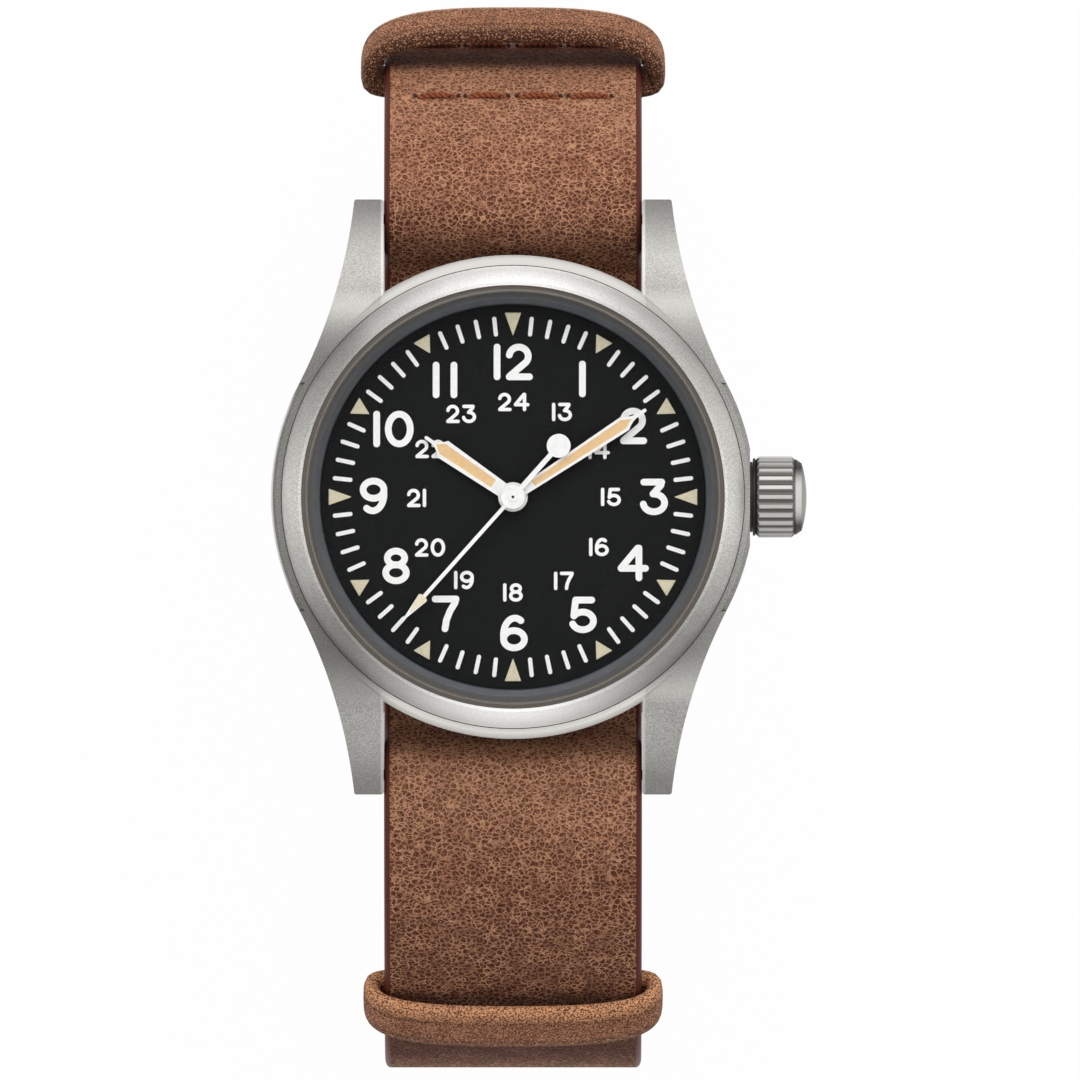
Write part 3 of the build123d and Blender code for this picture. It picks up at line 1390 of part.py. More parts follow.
with BuildPart() as ratchet_wheel:
    toothed(barrel_centre, ratchet_teeth, winding_module, ratchet_heights,
            bearing(barrel_centre, stem_point))
    hole = square + fit_gap
    slab((barrel_centre[0] - hole, barrel_centre[0] + hole),
         (barrel_centre[1] - hole, barrel_centre[1] + hole), ratchet_heights, Mode.SUBTRACT)
save(ratchet_wheel, "ratchet_wheel")

with BuildPart() as ratchet_screw:
    disc(barrel_centre, ratchet_screw_r, ratchet_heights[0] - ratchet_screw_head,
         ratchet_heights[0])
    disc(barrel_centre, ratchet_screw_shank_r, ratchet_heights[0], ratchet_screw_end)
    slab((barrel_centre[0] - ratchet_screw_r, barrel_centre[0] + ratchet_screw_r),
         (barrel_centre[1] - driver_slot / 2, barrel_centre[1] + driver_slot / 2),
         (ratchet_heights[0] - ratchet_screw_head,
          ratchet_heights[0] - ratchet_screw_head + driver_slot_depth), Mode.SUBTRACT)
save(ratchet_screw, "ratchet_screw")

with BuildPart() as crown_wheel:
    toothed(stem_point, crown_wheel_teeth, winding_module, crown_wheel_heights,
            gap_phase(crown_wheel_teeth, stem_point, barrel_centre))
    disc(stem_point, crown_core_r + stud_gap, *crown_wheel_heights, Mode.SUBTRACT)
save(crown_wheel, "crown_wheel")

with BuildPart() as click:
    ratchet_tip_r = (ratchet_teeth / 2 + addendum_share) * winding_module
    pivot_bearing = bearing(barrel_centre, click_pivot)
    nose = polar(ratchet_tip_r + click_nose_gap, pivot_bearing - click_lead, barrel_centre)
    with BuildSketch(level(ratchet_heights[0])) as outline:
        with Locations(click_pivot):
            Circle(click_half)
        edge_angle = bearing(click_pivot, nose) + 90
        Polygon(polar(click_half, edge_angle, click_pivot), nose,
                polar(click_half, edge_angle + 180, click_pivot), align=None)
        with Locations(click_pivot):
            Circle(click_stud_r + stud_gap, mode=Mode.SUBTRACT)
    extrude(outline.sketch, amount=ratchet_heights[1] - ratchet_heights[0])
save(click, "click")

# Going train
with BuildPart() as great_wheel:
    toothed(great_centre, great_teeth, great_module, (great_low, great_low + wheel_thick),
            gap_phase(great_teeth, great_centre, third_centre))
    spokes_cut(great_centre, great_teeth * great_module / 2, great_low)
    toothed(great_centre, great_pinion_teeth, barrel_module, great_pinion_heights, great_phase)
    pivoted(great_centre, bridge_high, plate_low)
save(great_wheel, "great_wheel")

with BuildPart() as third_wheel:
    toothed(third_centre, third_teeth, third_module, (third_low, third_low + wheel_thick),
            gap_phase(third_teeth, third_centre, origin))
    spokes_cut(third_centre, third_teeth * third_module / 2, third_low)
    toothed(third_centre, third_pinion_teeth, great_module, third_pinion_heights,
            bearing(third_centre, great_centre))
    pivoted(third_centre, bridge_high, plate_low, high_pivot=False)
    disc(third_centre, arbor_r, third_pinion_heights[1], driving_pinion_heights[0])
    toothed(third_centre, driving_pinion_teeth, driving_module, driving_pinion_heights,
            bearing(third_centre, origin))
save(third_wheel, "third_wheel")

with BuildPart() as fourth_wheel:
    toothed(origin, fourth_teeth, fourth_module, (fourth_low, fourth_low + wheel_thick),
            gap_phase(fourth_teeth, origin, escape_centre))
    spokes_cut(origin, fourth_teeth * fourth_module / 2, fourth_low)
    toothed(origin, fourth_pinion_teeth, third_module, fourth_pinion_heights,
            bearing(origin, third_centre))
    pivoted(origin, bridge_high, plate_low, high_pivot=False)
    disc(origin, arbor_r, fourth_pinion_heights[1], seconds_hand_z + hand_thick / 2)
save(fourth_wheel, "fourth_wheel")

with BuildPart() as escape_wheel:
    tooth_step = 360 / escape_wheel_teeth
    escape_root = escape_r * escape_root_share
    corners = []
    for tooth in range(escape_wheel_teeth):
        corners.append(polar(escape_root, tooth * tooth_step, escape_centre))
        corners.append(polar(escape_r, (tooth + escape_rake_share) * tooth_step, escape_centre))
        corners.append(polar(escape_root, (tooth + escape_rake_share) * tooth_step,
                             escape_centre))
    with BuildSketch(level(escape_low)) as outline:
        Polygon(*corners, align=None)
    extrude(outline.sketch, amount=wheel_thick)
    spokes_cut(escape_centre, escape_root, escape_low, hub=pallet_screw_r + arbor_r)
    toothed(escape_centre, escape_pinion_teeth, fourth_module, escape_pinion_heights,
            bearing(escape_centre, origin))
    pivoted(escape_centre, bridge_high, plate_low)
save(escape_wheel, "escape_wheel")

with BuildPart() as pallet_fork:
    fork_plane = level(fork_low).shift_origin((*pallet_centre, head_lift + fork_low))
    with BuildSketch(fork_plane.rotated((0, 0, pallet_angle))) as outline:
        Circle(fork_hub_r)
        Rectangle(fork_tip, 2 * fork_half, align=(Align.MIN, Align.CENTER))
        with Locations((fork_tip, 0)):
            Rectangle(2 * fork_notch, 2 * fork_head_half, align=(Align.MAX, Align.CENTER))
            Rectangle(fork_notch, 2 * fork_notch_half, align=(Align.MAX, Align.CENTER),
                      mode=Mode.SUBTRACT)
        for side in (1, -1):
            with BuildLine():
                Polyline((0, side * fork_hub_r), (-fork_hub_r, 0),
                         (-pallet_u - fork_half, side * (pallet_v - fork_half)),
                         (-pallet_u + fork_half, side * (pallet_v + fork_half)), close=True)
            make_face()
            with Locations((-pallet_u, side * pallet_v)):
                Rectangle(pallet_stone_length, 2 * pallet_stone_half)
    extrude(outline.sketch, amount=fork_thick)
    pivoted(pallet_centre, pallet_bridge_high, plate_low, low_pivot=False)
    disc(pallet_centre, pivot_r, pallet_bridge_low + shoulder_gap,
         pallet_bridge_high + 2 * shoulder_gap)
save(pallet_fork, "pallet_fork")

with BuildPart() as balance_wheel:
    ring(balance_centre, balance_r, balance_r - balance_rim, balance_low, balance_high)
    with BuildSketch(level(balance_low)) as arms:
        with Locations(balance_centre):
            Rectangle(2 * balance_r - balance_rim, 2 * balance_arm_half)
            Circle(balance_hub_r)
    extrude(arms.sketch, amount=balance_high - balance_low)
    pivoted(balance_centre, cock_high, plate_low)
    disc(balance_centre, roller_r, *roller_heights)
    disc(polar(impulse_place, pallet_angle + 180, balance_centre), impulse_r, impulse_low,
         roller_heights[0])
save(balance_wheel, "balance_wheel")

with BuildPart() as hairspring:
    spiral(balance_centre, hairspring_start, hairspring_pitch / 2, 2 * hairspring_turns,
           hairspring_thick, hairspring_heights)
save(hairspring, "hairspring")
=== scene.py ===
# Looks of the field watch: leather, dial print, hands, steel and the studio around it.
# Lengths are in millimetres, and turn into metres where a mesh is made. The places and sizes of
# the lamps, the floor and the camera's clipping are in metres.
import math

import bmesh
import bpy
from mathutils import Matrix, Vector


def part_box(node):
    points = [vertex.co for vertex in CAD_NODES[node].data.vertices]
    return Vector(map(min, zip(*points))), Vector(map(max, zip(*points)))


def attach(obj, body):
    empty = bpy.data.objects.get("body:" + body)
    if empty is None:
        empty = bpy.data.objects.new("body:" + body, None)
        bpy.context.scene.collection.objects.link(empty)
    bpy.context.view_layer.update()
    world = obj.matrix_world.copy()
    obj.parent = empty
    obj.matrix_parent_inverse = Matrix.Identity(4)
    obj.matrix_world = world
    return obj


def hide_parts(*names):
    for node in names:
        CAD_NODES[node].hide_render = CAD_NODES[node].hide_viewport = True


bl_info = {
    "name": "Field Watch",
    "version": (1, 0, 0),
    "blender": (4, 5, 0),
    "location": "View3D > Sidebar > Watch",
    "description": "Leather strap, dial, hands, steel finishes and studio of a field watch",
    "category": "Object",
}

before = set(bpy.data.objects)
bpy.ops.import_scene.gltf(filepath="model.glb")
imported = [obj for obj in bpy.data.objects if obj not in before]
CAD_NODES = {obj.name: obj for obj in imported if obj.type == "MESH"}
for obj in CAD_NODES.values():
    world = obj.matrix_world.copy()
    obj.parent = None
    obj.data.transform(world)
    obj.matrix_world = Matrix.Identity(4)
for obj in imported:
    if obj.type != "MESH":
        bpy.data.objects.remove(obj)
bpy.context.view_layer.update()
MM = 0.001

# The strap's two routes in the Y-Z plane: a run has no turn, an arc has its radius and turn.
# Below them are the tongue's slot, the round holes on each side of it, the cut in the fold that
# frees the tongue's eye, and the painted edges.
STRAP_HALF = 10.17
STRAP_THICK = 1.4
LONG_START = (6.6246, 3.65)
LONG_HEADING = 180
LONG_STEPS = [
    (6.0, 0), (3.0, -42.1264), (3.0, 42.1264), (1.5, 180), (16.038, 0), (24.303, 90),
    (26.3, 63), (1.5, 79.1855), (3.0655, 0), (2.45, -52.1855), (33.8, 0), (2.45, -52.1855),
    (3.0655, 0), (1.5, 58.3855), (25.3, 83.8), (22.3392, 90), (6.7904, 0), (2.45, -10),
    (10.513, 0), (2.45, 10), (16.9339, 0), (25.803, 72), (1.0, 0),
]
TIP_TAPER = 5.0
TIP_HALF = 2.5
UNDER_START = (33.2727, 32.4501)
UNDER_HEADING = 104.7231
UNDER_STEPS = [
    (23.4, 12.7324), (13.653, 62.5445), (43.8824, 0), (15.9062, 54.135), (22.4, 13.301),
]
HOLE_R = 0.9
SLOT_Y = -10.1115
SLOT_HALF = 1.2
SLOT_LENGTH = 5.6
HOLE_PITCH = 6.5
BUCKLE_Y = -3.4
LAYER_TOP = 1.45
FOLD_TOP = 4.0
EYE_CUT = (BUCKLE_Y - 2.89, BUCKLE_Y + 2.99)
EYE_CUT_TOP = 7.5
ROUTE_STEP = 0.6
EDGE_WIDTH = 0.42
EDGE_CREASE = 0.06

# Centres (Y, Z) of the bends that the keepers sit on, and the upper bend's outer radius
UPPER_BEND = (10.641, 26.503)
UPPER_OUTER_R = 27.0
LOWER_BEND = (-19.3296, 24.9392)
TAIL_BEND = (12.638, 26.503)

# Heights, radii and widths of what is made here on the dial, the crown and the case
DIAL_TOP = 53.05
INK = 0.018
INK_STEP = 0.005
MARK_INK = 0.02
MARKER_RISE = 0.08
CROWN_Z = 50.95
# Ends and radius of the dark ring of painted shade between the case and the crown
CROWN_SHADE_ENDS = (18.64, 18.88)
CROWN_SHADE_R = 2.77
SEAM_R = 18.235
SEAM_WIDTH = 0.07
SEAM_LOW = 53.96
SEAM_HIGH = 54.006
CRYSTAL_R = 16.35
CRYSTAL_LOW = 54.93
CRYSTAL_HIGH = 56.4
CRYSTAL_BEVEL = 0.35

WHITE = (1.0, 1.0, 1.0)
NEAR_BLACK = (0.02, 0.019, 0.018)


def srgb(red, green, blue):
    """A colour of 0 to 255 per channel as linear light."""
    return tuple(((value / 255 + 0.055) / 1.055) ** 2.4 for value in (red, green, blue))


class Signal:
    """A shader socket that takes part in ordinary sums."""

    def __init__(self, graph, socket):
        self.graph = graph
        self.socket = socket

    def sum(self, operation, left, right):
        """One sum of two signals, or of a signal and a number."""
        return self.graph.node("ShaderNodeMath", {"operation": operation}, {0: left, 1: right})

    def __add__(self, other):
        return self.sum("ADD", self, other)

    def __radd__(self, other):
        return self.sum("ADD", other, self)

    def __sub__(self, other):
        return self.sum("SUBTRACT", self, other)

    def __rsub__(self, other):
        return self.sum("SUBTRACT", other, self)

    def __mul__(self, other):
        return self.sum("MULTIPLY", self, other)

    def __rmul__(self, other):
        return self.sum("MULTIPLY", other, self)

    def __truediv__(self, other):
        return self.sum("DIVIDE", self, other)

    def __rtruediv__(self, other):
        return self.sum("DIVIDE", other, self)

    def __pow__(self, other):
        return self.sum("POWER", self, other)


class Graph:
    """The nodes of one material or world."""

    def __init__(self, tree):
        self.tree = tree

    def node(self, kind, settings=None, inputs=None, output=0):
        """Adds a node, sets it up, fills its sockets and hands back one of its outputs."""
        made = self.tree.nodes.new(kind)
        for name, value in (settings or {}).items():
            setattr(made, name, value)
        for key, value in (inputs or {}).items():
            if isinstance(value, Signal):
                self.tree.links.new(value.socket, made.inputs[key])
            else:
                made.inputs[key].default_value = value
        return Signal(self, made.outputs[output])

    def place(self, stretch=(1, 1, 1)):
        """Where a point lies, in millimetres, stretched along the axes."""
        spot = self.node("ShaderNodeTexCoord", output="Object")
        return self.node("ShaderNodeVectorMath", {"operation": "MULTIPLY"},
                         {0: spot, 1: tuple(share / MM for share in stretch)})

    def axis(self, spot, name):
        """One coordinate of a point."""
        return self.node("ShaderNodeSeparateXYZ", inputs={0: spot}, output=name)

    def from_middle(self, spot):
        """How far a point is from the upright axis through the dial's middle."""
        x, y = self.axis(spot, "X"), self.axis(spot, "Y")
        return (x * x + y * y) ** 0.5

    def noise(self, spot, size, detail=2.0, roughness=0.5, output="Fac"):
        """Cloudy noise with patches of about this size, in millimetres."""
        return self.node("ShaderNodeTexNoise",
                         inputs={"Vector": spot, "Scale": 1 / size, "Detail": detail,
                                 "Roughness": roughness}, output=output)

    def cells(self, spot, size):
        """How far a point is from the border between cells of about this size."""
        return self.node("ShaderNodeTexVoronoi", {"feature": "DISTANCE_TO_EDGE"},
                         {"Vector": spot, "Scale": 1 / size}, "Distance")

    def warp(self, spot, size, reach):
        """The point moved aside by slow noise, so that a pattern wanders."""
        drift = self.noise(spot, size, 1.0, output="Color")
        centred = self.node("ShaderNodeVectorMath", {"operation": "SUBTRACT"},
                            {0: drift, 1: (0.5, 0.5, 0.5)})
        moved = self.node("ShaderNodeVectorMath", {"operation": "SCALE"},
                          {0: centred, "Scale": reach})
        return self.node("ShaderNodeVectorMath", {"operation": "ADD"}, {0: spot, 1: moved})

    def fade(self, signal, none, full):
        """0 where the signal is at one value and 1 where it is at the other, eased."""
        return self.node("ShaderNodeMapRange", {"interpolation_type": "SMOOTHSTEP"},
                         {"Value": signal, "From Min": none, "From Max": full})

    def mix(self, mask, first, second):
        """The first colour where the mask is 0 and the second where it is 1."""
        first = first if isinstance(first, Signal) else (*first, 1)
        second = second if isinstance(second, Signal) else (*second, 1)
        return self.node("ShaderNodeMix", {"data_type": "RGBA"}, {0: mask, 6: first, 7: second}, 2)

    def lay(self, tone, *coats):
        """A colour with others laid over it in turn, each by its own mask."""
        for mask, colour in coats:
            tone = self.mix(mask, tone, colour)
        return tone

    def named(self, name):
        """A value that the mesh carries at its points."""
        return self.node("ShaderNodeAttribute", {"attribute_name": name}, output="Fac")


class Finish(Graph):
    """A material with one main surface shader."""

    def __init__(self, name, constants):
        self.material = bpy.data.materials.new(name)
        self.material.use_nodes = True
        super().__init__(self.material.node_tree)
        self.surface = self.tree.nodes["Principled BSDF"]
        for socket, value in constants.items():
            self.surface.inputs[socket].default_value = value

    def feed(self, socket, signal):
        """Links a signal to one of the surface's sockets."""
        self.tree.links.new(signal.socket, self.surface.inputs[socket])

    def relief(self, height, depth):
        """Raises the surface by up to this many millimetres where the height is 1."""
        bump = self.node("ShaderNodeBump", inputs={"Distance": depth * MM, "Height": height},
                         output="Normal")
        self.feed("Normal", bump)


def strap_leather(look):
    """Brown leather with a net of light veins, dark pits and painted edges, and painted light and
    shade by place.
    """
    leather = Finish("Strap leather", {"Specular IOR Level": 0.07})
    spot = leather.place()
    along, up = leather.axis(spot, "Y"), leather.axis(spot, "Z")
    crinkled = leather.warp(leather.warp(leather.place((0.9, 1.15, 1.15)), 1.3, 0.5), 0.22, 0.2)
    broad = leather.fade(leather.noise(spot, 7.0, 3.0), 0.34, 0.66)
    patch = leather.fade(leather.noise(spot, 1.6, 3.0), 0.36, 0.62)
    speck = leather.noise(spot, 0.15, 2.5, 0.65)
    cell = leather.cells(crinkled, look.vein_size)
    vein = leather.fade(cell, 0.11, 0.01) * (0.5 + patch * 0.5)
    hollow = leather.fade(cell, 0.07, 0.26)
    pit = leather.fade(speck, 0.49, 0.41)
    light = leather.fade(speck, 0.52, 0.62)

    # Painted shade and painted light on stretches of the strap, by their places along the watch:
    # shade on the lower part, deeper towards the bottom, shade near the case above it and painted
    # shadows under both keepers; painted light just below the case and in front of the upper
    # keeper
    lower = leather.fade(along, 10.0, -10.0) * 0.3 + leather.fade(along, -24.0, -44.0) * 0.55
    painted_light = (leather.fade(along, 26.5, 31.0) * leather.fade(along, 37.5, 33.0)
            + leather.fade(along, -30.0, -22.0) * leather.fade(along, -5.0, -15.0))
    shaded = leather.fade(along, 27.0, 22.0) * leather.fade(along, 5.0, 15.0)
    keeper_shadows = (leather.fade(along, -41.5, -43.5) * 0.75 * leather.fade(up, 27.0, 34.0)
                      + leather.fade(along, 33.7, 34.5) * 0.8 * leather.fade(up, 34.0, 38.0))

    tone = leather.lay(leather.mix(broad, look.leather_dark, look.leather_mid),
                       (lower, look.leather_pit_and_shade), (painted_light * 0.28, look.leather_vein_and_light),
                       (shaded * 0.4, look.leather_pit_and_shade), (hollow * 0.52, look.leather_pit_and_shade),
                       (pit * 0.75, look.leather_pit_and_shade), (light * 0.35, look.leather_vein_and_light),
                       (vein * 0.8, look.leather_vein_and_light), (keeper_shadows, look.leather_pit_and_shade))
    edge = leather.fade(leather.named("edge"), 0.35, 0.65)
    leather.feed("Base Color", leather.mix(edge, tone, look.edge_paint))
    rough = 0.62 - vein * 0.08 + speck * 0.12
    leather.feed("Roughness", rough * (1 - edge) + edge * 0.42)
    height = leather.fade(cell, 0.3, 0.04) * 0.5 + speck * 0.5
    leather.relief(height * (1 - edge), look.grain_depth)
    return leather.material


def keeper_leather(look):
    """Pored leather, grooved near both edges, with painted shade in the grooves and along one edge
    and painted highlights on the ridges and along the other edge.
    """
    leather = Finish("Keeper leather", {"Specular IOR Level": 0.16})
    spot = leather.place()
    broad = leather.fade(leather.noise(spot, 3.0, 3.0), 0.35, 0.68)
    pore = leather.noise(leather.warp(spot, 0.4, 0.06), 0.14, 2.0, 0.6)
    dark = leather.fade(pore, 0.51, 0.43)
    bright = leather.fade(pore, 0.54, 0.64)
    speck = leather.noise(spot, 0.10, 2.0)
    side = leather.named("edge")
    across = (side * side) ** 0.5
    # Painted shade in the grooves near both edges and painted highlights on the ridges beside them
    groove = leather.fade(across, 0.38, 0.48) * leather.fade(across, 0.60, 0.50)
    ridge = leather.fade(across, 0.50, 0.66) * leather.fade(across, 0.92, 0.74)
    # Painted light along the edge that faces the top lamp and painted shade along the other
    tone = leather.lay(leather.mix(broad, look.keeper_mid, look.keeper_light),
                       (ridge * 0.45, look.keeper_speck_and_highlight), (groove * 0.35, look.keeper_pore_and_shade),
                       (leather.fade(side, -0.62, -0.92) * 0.9, look.keeper_speck_and_highlight),
                       (leather.fade(side, 0.35, 0.9) * 0.9, look.keeper_pore_and_shade),
                       (bright * 0.55, look.keeper_speck_and_highlight), (dark * 0.85, look.keeper_pore_and_shade))
    leather.feed("Base Color", tone)
    leather.feed("Roughness", 0.6 + speck * 0.16)
    leather.relief((1 - dark) * 0.4 + speck * 0.3 - groove * 0.8, look.grain_depth)
    return leather.material


def thread_finish(look):
    """Thread with its fibres along the stitches."""
    thread = Finish("Waxed thread", {"Specular IOR Level": 0.3})
    spot = thread.place((1, 3, 3))
    fibre = thread.noise(spot, 0.12, 3.0)
    thread.feed("Base Color", thread.mix(fibre, look.thread_dark, look.thread_light))
    thread.feed("Roughness", 0.55 + fibre * 0.2)
    thread.relief(fibre, 0.03)
    return thread.material


def blasted_steel(name, dark, light, rough, ends=0.0, bezel_light_and_shade=0.0, metallic=1.0):
    """Blasted steel with painted shade and highlights on the lugs and case, set by ends, and on
    the bezel, set by its own strength; both paint it darker between the hours.
    """
    steel = Finish(name, {"Metallic": metallic})
    spot = steel.place()
    across, along, up = (steel.axis(spot, axis) for axis in "XYZ")
    grain = steel.noise(spot, 0.12, 2.0, 0.7)
    cloud = steel.noise(spot, 3.0, 2.0)
    shade = steel.fade(grain * 0.85 + cloud * 0.15, 0.38, 0.62)

    # Painted shade and painted highlights by place: shade on the lug tips, the upper lugs, the
    # left flanks, the case body and the diagonals between the hours; highlights on the lugs' inner
    # edges, the case's rim and outer edge and the bezel's top and bottom.
    # Squared lengths give both sides of the watch the same tone
    length = along * along
    reach = across * across + length
    tip = steel.fade(length, 300.0, 540.0) + steel.fade(along, 11.0, 16.0) * 0.3
    inner = steel.fade(across * across, 109.8, 107.0) * steel.fade(length, 200.0, 260.0)
    rim = steel.fade(length, 90.0, 260.0) * ends * 0.8 * steel.fade(up, 53.6, 53.95)
    lit = steel.fade(along, 10.0, 18.0) * 0.4 + steel.fade(along, -10.0, -18.0) * 0.6
    corner = (across * along * 2.0 / (reach + 0.01)) ** 2.0
    flank = (steel.fade(across, -8.0, -12.0) * steel.fade(along, 15.0, 11.0)
             * steel.fade(along, -17.5, -15.0))
    left = steel.fade(across, -10.0, -13.5) * corner ** 0.5
    away = left * (steel.fade(along, -3.0, 3.0) * 0.14 + 0.2) * bezel_light_and_shade
    outer = (steel.fade(reach, 356.0, 359.5) * steel.fade(across, 0.0, -10.0)
             * steel.fade(length, 75.0, 40.0))
    below = steel.fade(along, 8.0, -12.0)
    body = steel.fade(length, 270.0, 140.0) * (below * 0.34 + 0.12)
    dim = corner * (body * (ends / 0.55) + (below * 0.2 + 0.38) * bezel_light_and_shade)

    # The steel's own speckle, under the painted shade and painted highlights
    tone = steel.lay(steel.mix(shade, dark, light),
                     (tip * ends, [value * 0.5 for value in dark]),
                     (rim + inner * ends * 0.55, [min(1.0, value * 1.8) for value in light]),
                     (lit * bezel_light_and_shade, WHITE), (flank * (ends * 0.7) + away, NEAR_BLACK),
                     (outer * ends, WHITE), (dim, NEAR_BLACK))
    steel.feed("Base Color", tone)
    steel.feed("Roughness", rough + grain * 0.12)
    steel.relief(grain, 0.004)
    return steel.material


def crown_steel():
    """Steel with painted shade in the bottoms of its flutes, at the sides and very end of its end
    face and next to the case, and painted highlights on its ridges and the middle of its face.
    """
    steel = Finish("Crown steel", {"Metallic": 1.0})
    spot = steel.place()
    ahead, y, up = steel.axis(spot, "X"), steel.axis(spot, "Y"), steel.axis(spot, "Z") - CROWN_Z
    radius = (y * y + up * up) ** 0.5
    grain = steel.noise(spot, 0.12, 2.0, 0.6)
    # Painted shade in the bottoms of the flutes and painted highlights on their ridges
    ridge = steel.fade(radius + (grain - 0.5) * 0.04, 3.03, 3.2)
    side = steel.fade(y * y, 0.2, 5.5)
    # Painted light in the middle of the end face and painted shade at its sides and very end;
    # below, painted shade next to the case
    face = steel.lay(steel.mix(side, (0.62, 0.61, 0.59), (0.06, 0.058, 0.055)),
                     (steel.fade(ahead, 22.68, 22.78) * 0.65, (0.2, 0.195, 0.185)))
    tone = steel.lay(steel.mix(ridge, (0.11, 0.107, 0.1), (0.47, 0.46, 0.44)),
                     (steel.fade(ahead, 22.1, 22.25), face),
                     (steel.fade(ahead, 19.25, 19.1), (0.03, 0.029, 0.027)))
    steel.feed("Base Color", tone)
    steel.feed("Roughness", 0.52 + grain * 0.12)
    steel.relief(grain, 0.003)
    return steel.material


def turned_metal(name, dark, light, rough, size=0.25):
    """Metal with a fine grain of long scratches round the upright axis."""
    metal = Finish(name, {"Metallic": 1.0})
    spot = metal.place()
    line = metal.noise(metal.place((1, 1, 0.2)), size, 3.0, 0.7)
    cloud = metal.noise(spot, 1.5, 2.0)
    metal.feed("Base Color", metal.mix(metal.fade(line * 0.7 + cloud * 0.3, 0.35, 0.65),
                                       dark, light))
    metal.feed("Roughness", rough + line * 0.15)
    metal.relief(line, 0.003)
    return metal.material


def ringed(name, inner, outer, near, far, rough):
    """A painted ring whose colour changes from one distance from the dial's middle to another."""
    paint = Finish(name, {"Specular IOR Level": 0.2})
    spot = paint.place()
    streak = paint.noise(paint.place((1, 1, 0)), 1.1, 2.0)
    speck = paint.noise(spot, 0.2, 2.0)
    shade = paint.fade(paint.from_middle(spot), near, far)
    paint.feed("Base Color", paint.mix(shade * (0.7 + streak * 0.45), inner, outer))
    paint.feed("Roughness", rough + speck * 0.1)
    return paint.material


def painted(name, colour, shade, rough, size=0.3, depth=0.004, shine=0.4):
    """Paint, plastic or rubber with a slightly uneven colour and surface."""
    paint = Finish(name, {"Specular IOR Level": shine})
    speck = paint.noise(paint.place(), size, 3.0, 0.6)
    paint.feed("Base Color", paint.mix(paint.fade(speck, 0.35, 0.65), shade, colour))
    paint.feed("Roughness", rough + speck * 0.12)
    paint.relief(speck, depth)
    return paint.material


def clear_crystal():
    """Nearly invisible crystal that shows a little more at its rim."""
    crystal = Finish("Clear crystal", {"Roughness": 0.02, "IOR": 1.5})
    spot = crystal.place()
    rim = crystal.fade(crystal.from_middle(spot), 15.98, 16.3)
    smear = crystal.noise(spot, 9.0, 2.0)
    crystal.feed("Base Color", crystal.mix(rim, (0.02, 0.02, 0.02), (0.30, 0.27, 0.23)))
    crystal.feed("Alpha", 0.008 + smear * 0.006 + rim * 0.45)
    return crystal.material


def ruby():
    """Red stone of the jewels, with cloudy depth."""
    stone = Finish("Ruby", {"Specular IOR Level": 0.7, "Coat Weight": 0.5})
    depth = stone.noise(stone.place(), 0.5, 2.0)
    stone.feed("Base Color", stone.mix(depth, (0.35, 0.0, 0.05), (0.75, 0.05, 0.13)))
    stone.feed("Roughness", 0.08 + depth * 0.05)
    return stone.material


def finish_nodes(names, material):
    """Gives the CAD solids of these names a finish."""
    for name in names:
        mesh = CAD_NODES[name].data
        mesh.materials.clear()
        mesh.materials.append(material)


def make_piece(name, points, faces, material, body, smooth=True, slot=None, edges=None):
    """A mesh piece that rides on a body. Points are in millimetres."""
    mesh = bpy.data.meshes.new(name)
    mesh.from_pydata([Vector(point) * MM for point in points], [], faces)
    mesh.materials.append(material)
    mesh.polygons.foreach_set("use_smooth", [smooth] * len(mesh.polygons))
    if edges:
        mesh.attributes.new("edge", "FLOAT", "POINT").data.foreach_set("value", edges)
    tidy = bmesh.new()
    tidy.from_mesh(mesh)
    bmesh.ops.recalc_face_normals(tidy, faces=tidy.faces)
    tidy.to_mesh(mesh)
    tidy.free()
    piece = bpy.data.objects.new(name, mesh)
    bpy.context.scene.collection.objects.link(piece)
    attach(piece, body)
    return piece


def heading_step(angle):
    """A step of length one towards an angle in degrees."""
    return Vector((math.cos(math.radians(angle)), math.sin(math.radians(angle))))


def walk(start, heading, steps, pace):
    """Points of a route of runs and arcs, each with its heading and the distance gone."""
    place, angle, gone, rows = Vector(start), heading, 0.0, []
    for size, turn in steps:
        length = abs(math.radians(turn)) * size if turn else size
        count = max(2, round(length / pace))
        for index in range(count + 1):
            share = index / count
            if turn:
                side = math.copysign(size, turn)
                centre = place + heading_step(angle + 90) * side
                now = angle + turn * share
                spot = centre - heading_step(now + 90) * side
            else:
                now = angle
                spot = place + heading_step(angle) * (size * share)
            if index < count:
                rows.append((spot, now, gone + length * share))
        place, angle, gone = spot, now, gone + length
    rows.append((place, angle, gone))
    return rows


def band_section(half, thick, edge_width):
    """A leather band cut across: flat faces and rounded, painted edges."""
    flat = half - edge_width
    inner = flat - EDGE_CREASE
    columns = 14
    across = [-flat] + [-inner + 2 * inner * index / columns
                        for index in range(columns + 1)] + [flat]
    top = [(x, thick / 2, abs(x) > flat - EDGE_CREASE / 2) for x in across]
    turns = [90 - 180 * index / 12 for index in range(1, 12)]
    right = [(flat + edge_width * math.cos(math.radians(turn)),
              thick / 2 * math.sin(math.radians(turn)), 1) for turn in turns]
    low = [(x, -height, mark) for x, height, mark in reversed(top)]
    left = [(-x, height, mark) for x, height, mark in reversed(right)]
    return top + right + low + left


def skin(rows, ring):
    """The faces round rows of points, with a cap at each end."""
    faces = []
    for row in range(rows - 1):
        for index in range(ring):
            after = (index + 1) % ring
            faces.append((row * ring + index, row * ring + after,
                          (row + 1) * ring + after, (row + 1) * ring + index))
    faces.append(tuple(range(ring)))
    faces.append(tuple((rows - 1) * ring + index for index in range(ring)))
    return faces


